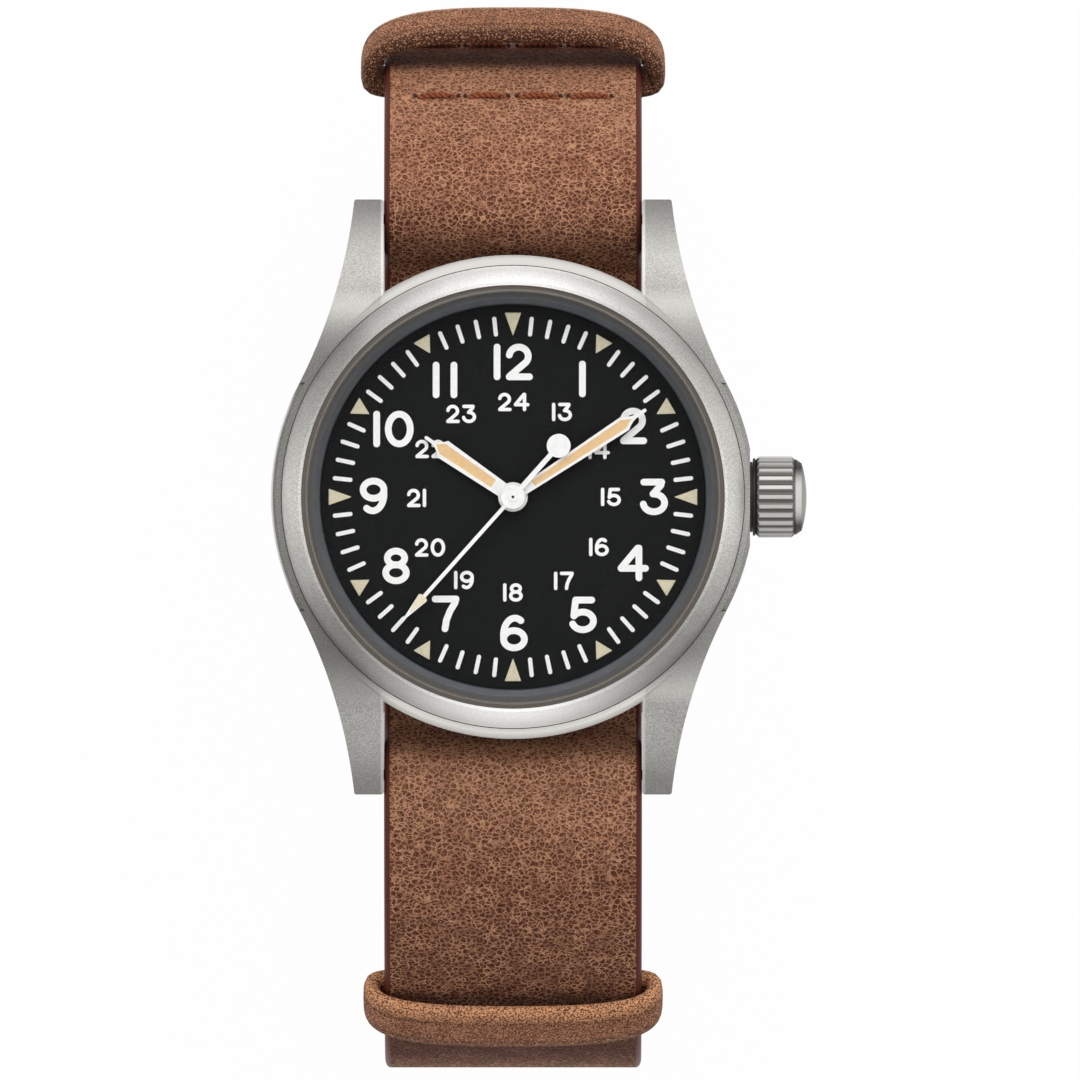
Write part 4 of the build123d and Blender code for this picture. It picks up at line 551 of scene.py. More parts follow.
def leather_band(name, rows, half_at, material, body):
    """A band of leather along a route, grain side out."""
    points, edges = [], []
    for spot, heading, gone in rows:
        section = band_section(half_at(gone), STRAP_THICK, EDGE_WIDTH)
        out = heading_step(heading - 90)
        for x, height, mark in section:
            place = spot + out * height
            points.append((x, place.x, place.y))
            edges.append(float(mark))
    faces = skin(len(rows), len(points) // len(rows))
    return make_piece(name, points, faces, material, body, slot="strap_leather", edges=edges)


def prism(outline, low, high):
    """The points and faces of an upright solid with this outline."""
    count = len(outline)
    points = [(x, y, low) for x, y in outline] + [(x, y, high) for x, y in outline]
    faces = [tuple(reversed(range(count))), tuple(range(count, 2 * count))]
    faces += [(index, (index + 1) % count, count + (index + 1) % count, count + index)
              for index in range(count)]
    return points, faces


def round_outline(x, y, radius, count=32):
    """Points evenly round a circle."""
    return [(x + radius * math.cos(2 * math.pi * index / count),
             y + radius * math.sin(2 * math.pi * index / count)) for index in range(count)]


def slot_outline(y, half, length):
    """A lengthwise slot with round ends, on the middle of the strap."""
    reach = length / 2 - half
    ends = []
    for centre, start in ((y + reach, 0), (y - reach, 180)):
        for index in range(13):
            turn = math.radians(start + index * 15)
            ends.append((half * math.cos(turn), centre + half * math.sin(turn)))
    return ends


def join_solids(solids):
    """Several lists of points and faces as one."""
    points, faces = [], []
    for more_points, more_faces in solids:
        base = len(points)
        points += more_points
        faces += [tuple(base + index for index in face) for face in more_faces]
    return points, faces


def cut_holes(piece, solids):
    """Cuts solids out of a piece, for good."""
    points, faces = join_solids(solids)
    mesh = bpy.data.meshes.new("cutters")
    mesh.from_pydata([Vector(point) * MM for point in points], [], faces)
    cutter = bpy.data.objects.new("cutters", mesh)
    bpy.context.scene.collection.objects.link(cutter)
    modifier = piece.modifiers.new("Holes", "BOOLEAN")
    modifier.object = cutter
    modifier.operation = "DIFFERENCE"
    modifier.solver = "EXACT"
    view = bpy.context.evaluated_depsgraph_get()
    cut = bpy.data.meshes.new_from_object(piece.evaluated_get(view))
    piece.modifiers.clear()
    piece.data = cut
    bpy.data.objects.remove(cutter)


def rounded_loop(half, low, high, widest, front_power, back_power, count=120):
    """A closed line round a keeper's section, widest at one height."""
    line = []
    for index in range(count):
        turn = 2 * math.pi * index / count
        c, s = math.cos(turn), math.sin(turn)
        power = front_power if s >= 0 else back_power
        reach = high - widest if s >= 0 else widest - low
        line.append(Vector((half * math.copysign(abs(c) ** (2 / power), c),
                            widest + reach * math.copysign(abs(s) ** (2 / power), s))))
    return line


def even_line(line, count):
    """A closed line divided into equal lengths."""
    size = len(line)
    gone = [0.0]
    for index in range(size):
        gone.append(gone[-1] + (line[(index + 1) % size] - line[index]).length)
    spaced, at = [], 0
    for index in range(count):
        target = gone[-1] * index / count
        while gone[at + 1] < target:
            at += 1
        share = (target - gone[at]) / (gone[at + 1] - gone[at])
        spaced.append(line[at].lerp(line[(at + 1) % size], share))
    return spaced


def keeper(name, bend, base_r, angle, line, material, body, band=4.0, thick=1.4):
    """A leather loop with soft edges, at an angle on a bend of the strap."""
    line = even_line(line, 150)
    size = len(line)
    section = []
    for index in range(28):
        turn = 2 * math.pi * index / 28
        c, s = math.cos(turn), math.sin(turn)
        along = band / 2 * math.copysign(abs(c) ** 0.55, c)
        section.append((along, thick / 2 * math.copysign(abs(s) ** 0.8, s)))
    points, edges, faces = [], [], []
    for index, point in enumerate(line):
        ahead = line[(index + 1) % size] - line[index - 1]
        out = Vector((ahead.y, -ahead.x)).normalized()
        for along, height in section:
            swing = math.degrees(along / base_r)
            x, radius = point.x + out.x * height, base_r + point.y + out.y * height
            place = heading_step(angle + swing) * radius
            points.append((x, bend[0] + place.x, bend[1] + place.y))
            edges.append(along / (band / 2))
    ring = len(section)
    for index in range(size):
        after = (index + 1) % size
        for step in range(ring):
            up = (step + 1) % ring
            faces.append((index * ring + step, after * ring + step,
                          after * ring + up, index * ring + up))
    return make_piece(name, points, faces, material, body, slot="keeper_leather", edges=edges)


def tube(line, radius, sides=8):
    """The points and faces of a round tube along a line of points."""
    points = []
    for index, spot in enumerate(line):
        ahead = (line[min(index + 1, len(line) - 1)] - line[max(index - 1, 0)]).normalized()
        side = ahead.orthogonal().normalized()
        up = ahead.cross(side)
        for step in range(sides):
            turn = 2 * math.pi * step / sides
            points.append(tuple(spot + (side * math.cos(turn) + up * math.sin(turn)) * radius))
    return points, skin(len(line), sides)


def stroke(line, width, low, high):
    """A printed stroke along a flat line: with round ends, or none where the line closes."""
    closed = (line[0] - line[-1]).length < width / 50
    if closed:
        line = line[:-1]
    count = len(line)
    left, right = [], []
    for index, spot in enumerate(line):
        before = line[index - 1] if closed or index else line[0]
        after = line[(index + 1) % count] if closed or index < count - 1 else line[-1]
        ahead = (after - before).normalized()
        side = Vector((-ahead.y, ahead.x)) * (width / 2)
        left.append(spot + side)
        right.append(spot - side)
    points, faces = [], []
    for height in (low, high):
        points += [(spot.x, spot.y, height) for spot in left + right]
    for index in range(count if closed else count - 1):
        a, b = index, (index + 1) % count
        faces.append((2 * count + a, 2 * count + b, 3 * count + b, 3 * count + a))
        faces.append((a, b, 2 * count + b, 2 * count + a))
        faces.append((count + a, count + b, 3 * count + b, 3 * count + a))
    if closed:
        return points, faces
    caps = []
    for centre, inner in ((line[-1], line[-2]), (line[0], line[1])):
        out = (centre - inner).normalized()
        side = Vector((-out.y, out.x))
        caps.append([centre + (side * math.cos(math.radians(turn))
                               + out * math.sin(math.radians(turn))) * (width / 2)
                     for turn in range(15, 180, 15)])
    for cap, near, far in ((caps[0], count - 1, 2 * count - 1), (caps[1], count, 0)):
        base = len(points)
        points += [(spot.x, spot.y, low) for spot in cap]
        points += [(spot.x, spot.y, high) for spot in cap]
        size = len(cap)
        rim = [near] + [base + index for index in range(size)] + [far]
        lid = [near + 2 * count] + [base + size + index for index in range(size)]
        lid.append(far + 2 * count)
        faces.append(tuple(lid))
        for index in range(size + 1):
            faces.append((rim[index], rim[index + 1], lid[index + 1], lid[index]))
    return points, faces


def arc(x, y, wide, tall, start, end, count=18):
    """Points of an upright ellipse's arc, in degrees."""
    return [(x + wide * math.cos(math.radians(start + (end - start) * index / count)),
             y + tall * math.sin(math.radians(start + (end - start) * index / count)))
            for index in range(count + 1)]


# How wide each plain digit is, and its strokes, in a box one unit high
DIGITS = {
    "0": (0.74, [arc(0.37, 0.5, 0.37, 0.5, 90, 450, 40)]),
    "1": (0.0, [[(0.0, 1.0), (0.0, 0.0)]]),
    "2": (0.68, [arc(0.34, 0.69, 0.32, 0.31, 172, -38) + [(0.03, 0.02)],
                 [(0.02, 0.0), (0.70, 0.0)]]),
    "3": (0.72, [[(0.02, 1.0), (0.62, 1.0)], [(0.62, 1.0), (0.60, 0.90), (0.33, 0.60)],
                 arc(0.36, 0.30, 0.36, 0.30, 92, -172)]),
    "4": (0.80, [[(0.56, 1.0), (0.0, 0.33)], [(0.0, 0.32), (0.82, 0.32)],
                 [(0.60, 1.0), (0.60, 0.0)]]),
    "5": (0.73, [[(0.66, 1.0), (0.12, 1.0)], [(0.12, 1.0), (0.06, 0.49)],
                 arc(0.36, 0.30, 0.36, 0.30, 146, -160)]),
    "6": (0.70, [arc(0.35, 0.29, 0.35, 0.29, 90, 450, 36),
                 arc(0.38, 0.44, 0.38, 0.56, 190, 58)]),
    "7": (0.72, [[(0.0, 1.0), (0.70, 1.0)],
                 [(0.70, 1.0), (0.66, 0.86), (0.50, 0.60), (0.38, 0.30), (0.33, 0.0)]]),
    "8": (0.70, [arc(0.35, 0.765, 0.29, 0.235, 90, 450, 32),
                 arc(0.35, 0.27, 0.345, 0.27, 90, 450, 36)]),
    "9": (0.70, [arc(0.35, 0.71, 0.35, 0.29, 90, 450, 36),
                 arc(0.32, 0.56, 0.38, 0.56, 10, -122)]),
}


def number_strokes(text, x, y, height, width, base):
    """The strokes of a number whose middle is at a point of the dial."""
    scale = height - width
    sizes = [DIGITS[digit][0] for digit in text]
    gaps = [0.60 if pair == "11" else 0.39 for pair in (text[at:at + 2]
                                                         for at in range(len(text) - 1))]
    left = -(sum(sizes) + sum(gaps)) / 2
    solids = []
    for place, digit in enumerate(text):
        for order, line in enumerate(DIGITS[digit][1]):
            flat = [Vector((x + (left + px) * scale, y + (py - 0.5) * scale)) for px, py in line]
            solids.append(stroke(flat, width, base, base + INK + order * INK_STEP))
        left += sizes[place] + (gaps[place] if place < len(gaps) else 0)
    return solids


def clock_point(radius, angle):
    """A point of the dial at a distance and a clockwise angle from twelve."""
    turn = math.radians(angle)
    return Vector((radius * math.sin(turn), radius * math.cos(turn)))


def clock_shape(outline, angle):
    """An outline of (distance from the middle, offset to the right), turned to an angle."""
    turn = math.radians(angle)
    out, side = Vector((math.sin(turn), math.cos(turn))), Vector((math.cos(turn), -math.sin(turn)))
    return [tuple(out * reach + side * offset) for reach, offset in outline]


def soften(outline, radius, steps=4):
    """An outline with its corners rounded."""
    size = len(outline)
    line = []
    for index in range(size):
        before, here, after = (Vector(outline[index - 1]), Vector(outline[index]),
                               Vector(outline[(index + 1) % size]))
        start = here + (before - here).normalized() * radius
        end = here + (after - here).normalized() * radius
        for step in range(steps + 1):
            share = step / steps
            line.append(tuple(start.lerp(here, share).lerp(here.lerp(end, share), share)))
    return line


def raised(outline, low, high, bevel):
    """An upright solid whose upper edge is bevelled."""
    count = len(outline)
    middle = sum((Vector(point) for point in outline), Vector((0, 0))) / count
    points, faces = prism(outline, low, high - bevel)
    faces.pop(1)
    shrunk = []
    for point in outline:
        away = Vector(point) - middle
        shrunk.append(middle + away * max(0.0, 1 - bevel / away.length))
    base = len(points)
    points += [(spot.x, spot.y, high) for spot in shrunk]
    faces += [(count + index, count + (index + 1) % count, base + (index + 1) % count,
               base + index) for index in range(count)]
    faces.append(tuple(base + index for index in range(count)))
    return points, faces


def tint(name, description, default):
    """A colour among the panel's settings."""
    return bpy.props.FloatVectorProperty(name=name, description=description, subtype="COLOR",
                                         default=default, min=0, max=1)


class WatchLook(bpy.types.PropertyGroup):
    """Colours and sizes of the watch's leather, dial and steel."""

    leather_dark: tint("Leather dark", "Deeper colour of the strap", srgb(130, 79, 58))
    leather_mid: tint("Leather mid", "Main colour of the strap", srgb(154, 100, 76))
    # The strap's vein colour also gives its painted light, and its pit colour its painted shade
    leather_vein_and_light: tint("Leather vein", "Light lines of the strap's grain", srgb(200, 150, 116))
    leather_pit_and_shade: tint("Leather pits", "Dark specks of the strap's grain", srgb(64, 33, 24))
    edge_paint: tint("Edge paint", "Paint on the strap's edges", srgb(90, 46, 36))
    keeper_mid: tint("Keeper mid", "Main colour of the keepers", srgb(150, 98, 70))
    keeper_light: tint("Keeper light", "Lighter patches of the keepers", srgb(170, 118, 87))
    # The keepers' pore colour also gives their painted shade, and their lightest colour their
    # painted highlights
    keeper_pore_and_shade: tint("Keeper pore", "Dark pores of the keepers", srgb(60, 33, 23))
    keeper_speck_and_highlight: tint("Keeper speck and highlight", "Lightest colour on the keepers' edges", srgb(222, 160, 116))
    thread_dark: tint("Thread dark", "Shaded colour of the stitches", srgb(92, 46, 24))
    thread_light: tint("Thread light", "Lit colour of the stitches", srgb(166, 90, 50))
    vein_size: bpy.props.FloatProperty(
        name="Vein size", description="Size of the cells in the strap's grain, in millimetres",
        default=0.44, min=0.2, max=4)
    grain_depth: bpy.props.FloatProperty(
        name="Grain depth", description="Depth of the leather's grain, in millimetres",
        default=0.1, min=0, max=0.5)
    steel_dark: tint("Steel dark", "Darker specks of the blasted steel", (0.25, 0.243, 0.23))
    steel_light: tint("Steel light", "Lighter specks of the blasted steel", (0.40, 0.39, 0.37))
    dial_black: tint("Dial", "Colour of the dial", srgb(31, 33, 32))
    print_white: tint("Print", "Colour of the dial's numbers and minute marks", (1.0, 1.0, 0.99))
    marker_cream: tint("Markers", "Colour of the hour markers", srgb(226, 219, 190))
    lume_tan: tint("Hand lume", "Colour of the hands' inlays", srgb(240, 203, 150))


class Builder:
    """What every step of the watch shares."""

    bl_options = {"REGISTER", "UNDO"}

    def look(self, context):
        """The panel's settings."""
        return context.scene.watch_look


class WATCH_OT_case(Builder, bpy.types.Operator):
    """Finishes the case, bezel, back, crown, crystal and seals."""

    bl_idname = "watch.case"
    bl_label = "Case and crystal"

    def execute(self, context):
        look = self.look(context)
        steel = blasted_steel("Blasted steel", look.steel_dark, look.steel_light,
                              rough=0.42, ends=0.55)
        finish_nodes(["case_middle", "case_back", "crown_tube"], steel)
        # The bezel takes a brighter copy of the same steel: painted light for the lamps on its
        # slope
        bright = [[min(1.0, value * gain) for value in look.steel_light] for gain in (1.25, 1.85)]
        bezel = blasted_steel("Bezel steel", *bright, rough=0.5, bezel_light_and_shade=1.0, metallic=0.75)
        finish_nodes(["bezel_ring"], bezel)
        finish_nodes(["crown"], crown_steel())
        # A near-black ring in the gap between the case and the crown's fluted part: painted shade
        shade = painted("Crown shade", NEAR_BLACK, (0.012, 0.012, 0.011), rough=0.5)
        shade_ring = tube([Vector((x, 0.0, CROWN_Z)) for x in CROWN_SHADE_ENDS], CROWN_SHADE_R, sides=48)
        make_piece("crown_shade_ring", *shade_ring, shade, "crown", False)
        joint = painted("Bezel joint", (0.06, 0.058, 0.055), (0.04, 0.038, 0.036), rough=0.6)
        seam = stroke([clock_point(SEAM_R, 3 * step) for step in range(121)],
                      SEAM_WIDTH, SEAM_LOW, SEAM_HIGH)
        make_piece("bezel_joint", *seam, joint, "root", False)
        glass = raised(round_outline(0, 0, CRYSTAL_R, 180), CRYSTAL_LOW, CRYSTAL_HIGH,
                       CRYSTAL_BEVEL)
        crystal = make_piece("clear_crystal", *glass, clear_crystal(), "root", False, "crystal")
        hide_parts("crystal")
        rubber = painted("Seal rubber", (0.03, 0.03, 0.03), (0.015, 0.015, 0.015), rough=0.55)
        finish_nodes(["case_back_gasket", "crown_gasket"], rubber)
        seal = ringed("Crystal seal", srgb(92, 92, 93), srgb(106, 100, 92),
                      near=16.0, far=16.12, rough=0.4)
        finish_nodes(["crystal_gasket"], seal)
        # The flange ring is darker towards its inner edge: a painted shadow next to the dial
        flange = ringed("Flange ring", srgb(15, 16, 17), srgb(106, 108, 112),
                        near=15.12, far=15.3, rough=0.4)
        finish_nodes(["flange_ring"], flange)
        holder = painted("Holder plastic", srgb(205, 200, 188), srgb(190, 184, 172), rough=0.5)
        finish_nodes(["movement_holder"], holder)
        return {"FINISHED"}


class WATCH_OT_dial(Builder, bpy.types.Operator):
    """Finishes the dial and prints its numbers, minute marks and hour markers."""

    bl_idname = "watch.dial"
    bl_label = "Dial"

    # Where the middle of each number is
    hours = {"12": (0.0, 10.63), "1": (5.47, 9.29), "2": (9.45, 5.59), "3": (11.10, 0.0),
             "4": (9.45, -5.20), "5": (5.51, -9.29), "6": (0.08, -10.71), "7": (-5.28, -9.21),
             "8": (-9.21, -5.43), "9": (-10.98, 0.08), "10": (-9.41, 5.35), "11": (-5.35, 9.21)}
    afternoon = {"24": (0.04, 7.48), "13": (3.86, 6.69), "14": (6.77, 3.70), "15": (7.72, 0.0),
                 "16": (6.77, -3.94), "17": (4.02, -6.61), "18": (0.0, -7.52),
                 "19": (-3.86, -6.54), "20": (-6.54, -3.98), "21": (-7.60, -0.08),
                 "22": (-6.54, 3.78), "23": (-4.09, 6.54)}
    minute_marks = (12.87, 14.1)

    # How far a marker's base and point are from the dial's middle, with half its width between
    quarter_marker = (14.52, 0.66, 12.68)
    hour_marker = (14.40, 0.74, 13.03)

    def execute(self, context):
        look = self.look(context)
        black = painted("Dial black", look.dial_black, [value * 0.6 for value in look.dial_black],
                        rough=0.7, size=0.11, depth=0.006, shine=0.06)
        finish_nodes(["dial"], black)
        white = painted("Dial print", look.print_white, srgb(248, 248, 246),
                        rough=0.45, size=0.4, depth=0.002)
        cream = painted("Hour marker", look.marker_cream, srgb(214, 205, 174),
                        rough=0.6, size=0.2)
        solids = []
        for text, (x, y) in self.hours.items():
            solids += number_strokes(text, x, y, height=2.87, width=0.53, base=DIAL_TOP)
        for text, (x, y) in self.afternoon.items():
            solids += number_strokes(text, x, y, height=1.45, width=0.27, base=DIAL_TOP)
        for minute in range(60):
            if minute % 5:
                line = [clock_point(radius, minute * 6) for radius in self.minute_marks]
                solids.append(stroke(line, width=0.33, low=DIAL_TOP, high=DIAL_TOP + MARK_INK))
        make_piece("dial_print", *join_solids(solids), white, "root", False, "hand_white")
        markers = []
        for hour in range(12):
            base, half, tip = self.hour_marker if hour % 3 else self.quarter_marker
            corners = soften([(base, -half), (tip, 0.0), (base, half)], radius=0.1)
            markers.append(raised(clock_shape(corners, hour * 30), DIAL_TOP,
                                  DIAL_TOP + MARKER_RISE, bevel=0.05))
        make_piece("hour_markers", *join_solids(markers), cream, "root", False)
        return {"FINISHED"}


class WATCH_OT_hands(Builder, bpy.types.Operator):
    """Paints the hands and fills their windows with luminous paste."""

    bl_idname = "watch.hands"
    bl_label = "Hands"

    def execute(self, context):
        look = self.look(context)
        white = painted("Hand white", look.print_white, srgb(244, 244, 242),
                        rough=0.35, size=0.5, depth=0.001)
        finish_nodes(["hour_hand", "minute_hand", "seconds_hand"], white)
        paste = painted("Hand lume", look.lume_tan, srgb(233, 194, 140), rough=0.6, size=0.35)
        cream = painted("Arrow lume", srgb(246, 236, 206), srgb(236, 224, 190),
                        rough=0.6, depth=0.01)
        # Outlines as seen along a hand: how far out, and how far to the right
        windows = (
            ("hour_lume", "hour_hand", "hours", 304.3, paste,
             [(1.82, -0.38), (6.72, -0.49), (7.42, 0.0), (6.72, 0.49), (1.82, 0.38)]),
            ("minute_lume", "minute_hand", "minutes", 56.7, paste,
             [(1.87, -0.25), (10.42, -0.41), (11.27, 0.0), (10.42, 0.41), (1.87, 0.25)]),
        )
        for name, node, body, angle, material, outline in windows:
            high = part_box(node)[1].z / MM
            inlay = raised(clock_shape(outline, angle), low=high - 0.13, high=high - 0.035,
                           bevel=0.02)
            make_piece(name, *inlay, material, body, False)
        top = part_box("seconds_hand")[1].z / MM
        arrow = soften([(10.5, -0.30), (10.66, -0.38), (12.1, -0.09), (12.1, 0.09),
                        (10.66, 0.38), (10.5, 0.30)], radius=0.05)
        arrow = raised(clock_shape(arrow, 221.8), low=top - 0.02, high=top + 0.03, bevel=0.02)
        make_piece("arrow_lume", *arrow, cream, "seconds", False)
        caps = [raised(round_outline(0, 0, 0.97, 48), low=top - 0.03, high=top + 0.02, bevel=0.04),
                raised(round_outline(0, 0, 0.42, 40), low=top, high=top + 0.06, bevel=0.04)]
        make_piece("hub_cap", *join_solids(caps), white, "seconds", False)
        dot = prism(round_outline(0, 0, 0.11, 20), low=top, high=top + 0.065)
        shade = painted("Pivot shade", (0.01, 0.01, 0.01), (0.004, 0.004, 0.004), rough=0.5)
        make_piece("pivot_dot", *dot, shade, "seconds", False)
        return {"FINISHED"}


class WATCH_OT_long_strap(Builder, bpy.types.Operator):
    """Makes the long leather strap, with its holes and painted edges."""

    bl_idname = "watch.long_strap"
    bl_label = "Long strap"

    def execute(self, context):
        look = self.look(context)
        leather = strap_leather(look)
        rows = walk(LONG_START, LONG_HEADING, LONG_STEPS, ROUTE_STEP)
        length = rows[-1][2]

        def half_at(gone):
            """Half the strap's width, which narrows towards the tip."""
            left = max(0.0, length - gone)
            if left >= TIP_TAPER:
                return STRAP_HALF
            share = left / TIP_TAPER
            return TIP_HALF + (STRAP_HALF - TIP_HALF) * share ** 0.8

        strap = leather_band("long_strap", rows, half_at, leather, "root")
        cutters = []
        for place in range(-2, 4):
            y = SLOT_Y + place * HOLE_PITCH
            top = FOLD_TOP if place <= 0 else LAYER_TOP
            shape = (slot_outline(y, SLOT_HALF, SLOT_LENGTH) if place == 0
                     else round_outline(0, y, HOLE_R))
            cutters.append(prism(shape, -1.0, top))
        near, far = EYE_CUT
        fold = [(-SLOT_HALF, near), (SLOT_HALF, near), (SLOT_HALF, far), (-SLOT_HALF, far)]
        cutters.append(prism(fold, LAYER_TOP + 0.01, EYE_CUT_TOP))
        cut_holes(strap, cutters)
        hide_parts("strap_long")
        return {"FINISHED"}


class WATCH_OT_short_strap(Builder, bpy.types.Operator):
    """Makes the short leather strap that passes beneath the case."""

    bl_idname = "watch.short_strap"
    bl_label = "Short strap"

    def execute(self, context):
        rows = walk(UNDER_START, UNDER_HEADING, UNDER_STEPS, ROUTE_STEP)
        strap = leather_band("short_strap", rows, lambda gone: STRAP_HALF,
                             bpy.data.materials["Strap leather"], "root")
        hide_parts("strap_short")
        return {"FINISHED"}


class WATCH_OT_keepers(Builder, bpy.types.Operator):
    """Makes the three leather loops."""

    bl_idname = "watch.keepers"
    bl_label = "Keepers"

    def execute(self, context):
        leather = keeper_leather(self.look(context))
        line = rounded_loop(half=11.35, low=0.7, high=6.0, widest=1.9,
                            front_power=3.0, back_power=4.0)
        upper = keeper("upper_loop", UPPER_BEND, 24.15, 27.4555, line, leather, "root")
        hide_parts("upper_keeper")
        line = rounded_loop(half=11.15, low=0.7, high=4.7, widest=1.8,
                            front_power=2.8, back_power=4.0)
        lower = keeper("lower_loop", LOWER_BEND, 23.15, 144.135, line, leather, "root")
        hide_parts("lower_keeper")
        line = rounded_loop(half=10.9, low=0.5, high=4.7, widest=2.6,
                            front_power=5.0, back_power=5.0)
        tail = keeper("tail_loop", TAIL_BEND, 22.453, -30.0, line, leather, "tail_loop",
                      band=3.0, thick=1.0)
        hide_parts("tail_keeper")
        return {"FINISHED"}


class WATCH_OT_stitches(Builder, bpy.types.Operator):
    """Sews the rows of stitches on both sides of the upper keeper."""

    bl_idname = "watch.stitches"
    bl_label = "Stitches"

    rows = (31.62, 35.75)
    starts = (-7.7, -3.75, 0.35, 4.4)
    stitch = 3.35
    strand_r = 0.135
    dent_r = 0.17
    twist_r = 0.1
    twists = 3.6

    def surface(self, x, y, height):
        """A point above the strap's grain at this place."""
        across = (y - UPPER_BEND[0]) / UPPER_OUTER_R
        up = math.sqrt(1 - across * across)
        reach = UPPER_OUTER_R + height
        return Vector((x, UPPER_BEND[0] + across * reach, UPPER_BEND[1] + up * reach))

    def strand(self, start, y, phase):
        """One strand of a two-strand stitch that dips into the leather at both ends."""
        line = []
        for index in range(61):
            share = index / 60
            turn = phase + share * self.twists * 2 * math.pi
            lift = math.sin(math.pi * share) ** 0.45
            height = -0.22 + 0.42 * lift + self.twist_r * math.sin(turn)
            place = y + self.twist_r * math.cos(turn) - 0.08 * (1 - lift)
            line.append(self.surface(start + self.stitch * share, place, height))
        return tube(line, self.strand_r)

    def execute(self, context):
        look = self.look(context)
        solids, dents = [], []
        for y in self.rows:
            for start in self.starts:
                solids.append(self.strand(start, y, 0.0))
                solids.append(self.strand(start, y, math.pi))
                for end in (start - 0.02, start + self.stitch + 0.02):
                    line = [self.surface(end, y + 0.04 - 0.1 * step, 0.0) for step in range(-1, 2)]
                    dents.append(tube(line, self.dent_r))
        make_piece("stitches", *join_solids(solids), thread_finish(look), "root",
                   slot="strap_leather")
        shade = painted("Awl hole", srgb(58, 30, 22), srgb(40, 20, 15), rough=0.8)
        make_piece("awl_holes", *join_solids(dents), shade, "root", slot="strap_leather")
        return {"FINISHED"}


class WATCH_OT_buckle(Builder, bpy.types.Operator):
    """Finishes the buckle and the spring bars."""

    bl_idname = "watch.buckle"
    bl_label = "Buckle and bars"

    def execute(self, context):
        look = self.look(context)
        steel = blasted_steel("Buckle steel", look.steel_dark, look.steel_light, rough=0.3)
        finish_nodes(["buckle_frame", "buckle_pin", "buckle_tongue"], steel)
        bars = [name for name in CAD_NODES if "spring_bar" in name or "bar_tip" in name]
        turned = turned_metal("Turned steel", (0.42, 0.42, 0.42), (0.6, 0.6, 0.6), rough=0.25)
        finish_nodes(bars, turned)
        return {"FINISHED"}


class WATCH_OT_movement(Builder, bpy.types.Operator):
    """Finishes the plates, wheels, springs and jewels of the movement."""

    bl_idname = "watch.movement"
    bl_label = "Movement"

    plates = ["main_plate", "barrel_bridge", "train_bridge", "pallet_bridge", "balance_cock"]
    brass = ["barrel_drum", "barrel_cover", "great_wheel", "third_wheel", "fourth_wheel",
             "escape_wheel", "minute_wheel", "hour_wheel", "balance_wheel"]
    steel = ["winding_stem", "winding_pinion", "sliding_pinion", "setting_lever", "yoke",
             "setting_wheel", "click", "crown_wheel", "ratchet_wheel", "ratchet_screw",
             "bridge_screws", "barrel_arbor", "mainspring", "pallet_fork", "cannon_pinion"]

    def execute(self, context):
        grained = turned_metal("Grained plate", (0.52, 0.45, 0.33), (0.74, 0.66, 0.5),
                               rough=0.28, size=0.5)
        finish_nodes(self.plates, grained)
        gilt = turned_metal("Gilt brass", (0.62, 0.45, 0.2), (0.83, 0.66, 0.36), rough=0.22)
        finish_nodes(self.brass, gilt)
        polished = turned_metal("Polished steel", (0.44, 0.44, 0.45), (0.64, 0.64, 0.65),
                                rough=0.18)
        finish_nodes(self.steel, polished)
        blued = turned_metal("Blued spring", (0.05, 0.08, 0.28), (0.09, 0.14, 0.42), rough=0.2)
        finish_nodes(["hairspring"], blued)
        finish_nodes(["jewels"], ruby())
        return {"FINISHED"}


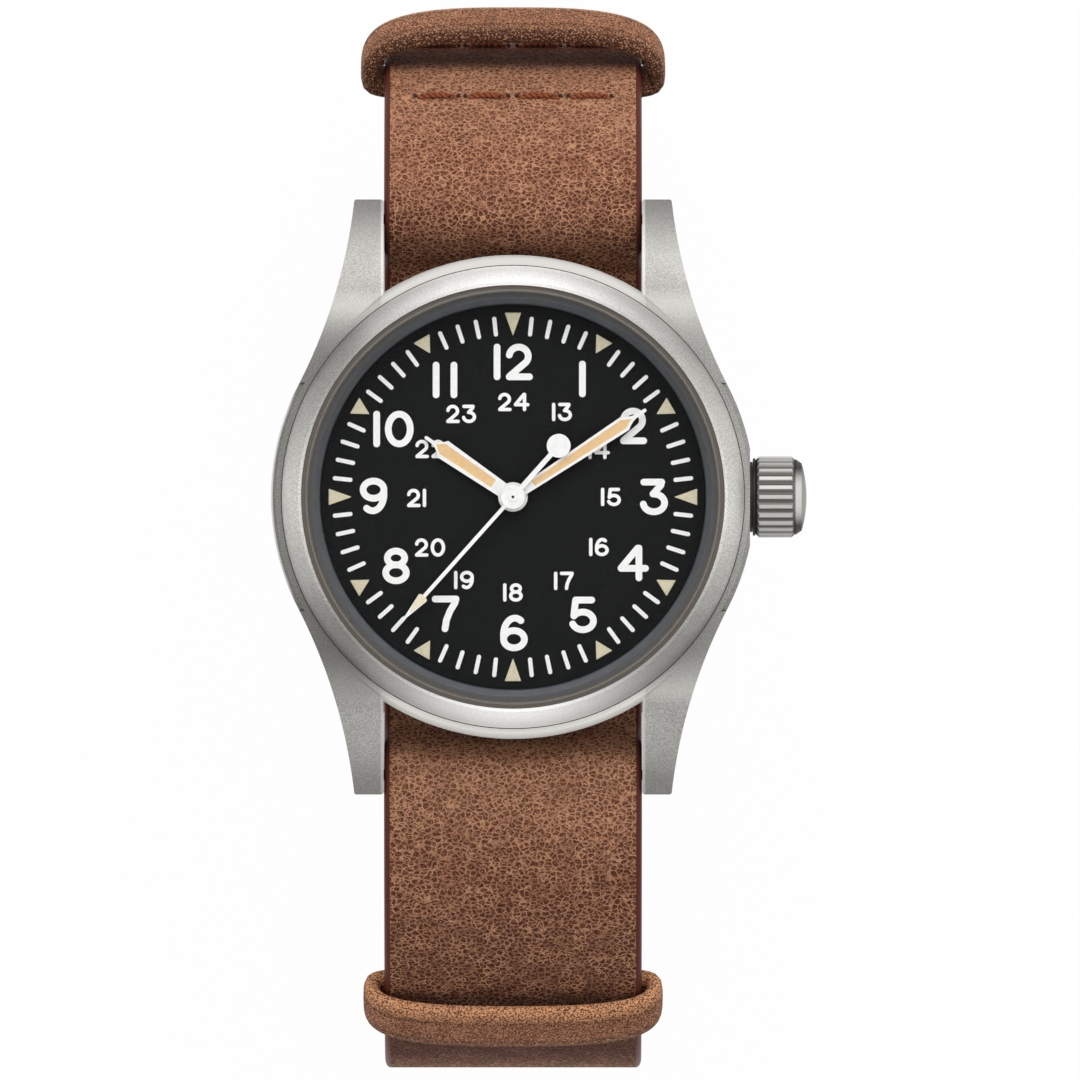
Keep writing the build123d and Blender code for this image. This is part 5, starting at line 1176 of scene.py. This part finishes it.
class WATCH_OT_studio(Builder, bpy.types.Operator):
    """Sets up the pale floor, the soft lamps and the camera above the dial."""

    bl_idname = "watch.studio"
    bl_label = "Studio"

    # The camera's lens and sensor, and the width and middle of its view at the dial
    lens = 1200
    sensor = 36
    view_width = 85.04
    view_middle = (2.13, -3.39)

    # Where the lamps point, and half the floor's side
    aim = (0, 0, 0.045)
    floor_half = 3.0

    def backdrop(self, graph, lit, white, output):
        """Shows white to the camera and in reflections, and the lit shader to all else."""
        path = {name: graph.node("ShaderNodeLightPath", output=name)
                for name in ("Is Camera Ray", "Is Glossy Ray", "Is Transmission Ray")}
        seen = path["Is Camera Ray"] + path["Is Glossy Ray"] + path["Is Transmission Ray"]
        return graph.node("ShaderNodeMixShader", inputs={0: seen * output, 1: lit, 2: white})

    def floor(self):
        """A wide pale floor just beneath the strap."""
        material = bpy.data.materials.new("Studio floor")
        material.use_nodes = True
        tree = material.node_tree
        graph = Graph(tree)
        lit = graph.node("ShaderNodeBsdfDiffuse", inputs={"Color": (0.88, 0.88, 0.88, 1)})
        white = graph.node("ShaderNodeEmission", inputs={"Color": (*WHITE, 1), "Strength": 1.0})
        shown = self.backdrop(graph, lit, white, 0.97)
        tree.links.new(shown.socket, tree.nodes["Material Output"].inputs["Surface"])
        mesh = bpy.data.meshes.new("floor")
        reach = self.floor_half
        mesh.from_pydata([(-reach, -reach, 0), (reach, -reach, 0), (reach, reach, 0),
                          (-reach, reach, 0)], [], [(0, 1, 2, 3)])
        mesh.materials.append(material)
        floor = bpy.data.objects.new("floor", mesh)
        floor.location.z = -0.00005
        bpy.context.scene.collection.objects.link(floor)

    def world(self):
        """An even pale light from all round."""
        world = bpy.data.worlds.new("Studio")
        world.use_nodes = True
        bpy.context.scene.world = world
        tree = world.node_tree
        graph = Graph(tree)
        lit, white = (graph.node("ShaderNodeBackground",
                                 inputs={"Color": (*WHITE, 1), "Strength": strength})
                      for strength in (0.58, 1.0))
        shown = self.backdrop(graph, lit, white, 1.0)
        tree.links.new(shown.socket, tree.nodes["World Output"].inputs["Surface"])

    def lamp(self, name, place, size, energy):
        """An area lamp that faces the head of the watch."""
        light = bpy.data.lights.new(name, "AREA")
        light.shape = "RECTANGLE"
        light.size, light.size_y = size
        light.energy = energy
        lamp = bpy.data.objects.new(name, light)
        lamp.location = place
        ahead = Vector(self.aim) - Vector(place)
        lamp.rotation_euler = ahead.to_track_quat("-Z", "Y").to_euler()
        bpy.context.scene.collection.objects.link(lamp)

    def execute(self, context):
        self.floor()
        self.world()
        self.lamp("Top lamp", (0.1, 0.75, 0.85), size=(1.3, 0.8), energy=8.0)
        self.lamp("Low lamp", (0.0, -0.8, 0.85), size=(1.3, 0.7), energy=1.2)
        scene = context.scene
        scene.view_settings.view_transform = "Standard"
        camera = bpy.data.cameras.new("Camera")
        camera.lens = self.lens
        camera.sensor_width = self.sensor
        camera.clip_start = 0.05
        camera.clip_end = 20
        eye = bpy.data.objects.new("Camera", camera)
        x, y = self.view_middle
        height = DIAL_TOP + self.view_width * self.lens / self.sensor
        eye.location = (x * MM, y * MM, height * MM)
        scene.collection.objects.link(eye)
        scene.camera = eye
        return {"FINISHED"}


STEPS = (WATCH_OT_case, WATCH_OT_dial, WATCH_OT_hands, WATCH_OT_long_strap, WATCH_OT_short_strap,
         WATCH_OT_keepers, WATCH_OT_stitches, WATCH_OT_buckle, WATCH_OT_movement, WATCH_OT_studio)


class WATCH_PT_panel(bpy.types.Panel):
    """Lists the watch's steps and its colours."""

    bl_label = "Field watch"
    bl_space_type = "VIEW_3D"
    bl_region_type = "UI"
    bl_category = "Watch"

    def draw(self, context):
        for step in STEPS:
            self.layout.operator(step.bl_idname)
        for name in WatchLook.__annotations__:
            self.layout.prop(context.scene.watch_look, name)


CLASSES = (WatchLook, *STEPS, WATCH_PT_panel)


def register():
    """Adds the classes and the scene's settings."""
    for item in CLASSES:
        bpy.utils.register_class(item)
    bpy.types.Scene.watch_look = bpy.props.PointerProperty(type=WatchLook)


def unregister():
    """Takes the settings and the classes away again."""
    del bpy.types.Scene.watch_look
    for item in reversed(CLASSES):
        bpy.utils.unregister_class(item)


def main():
    """Runs every step."""
    register()
    for step in STEPS:
        group, name = step.bl_idname.split(".")
        getattr(getattr(bpy.ops, group), name)()


if __name__ == "__main__":
    main()
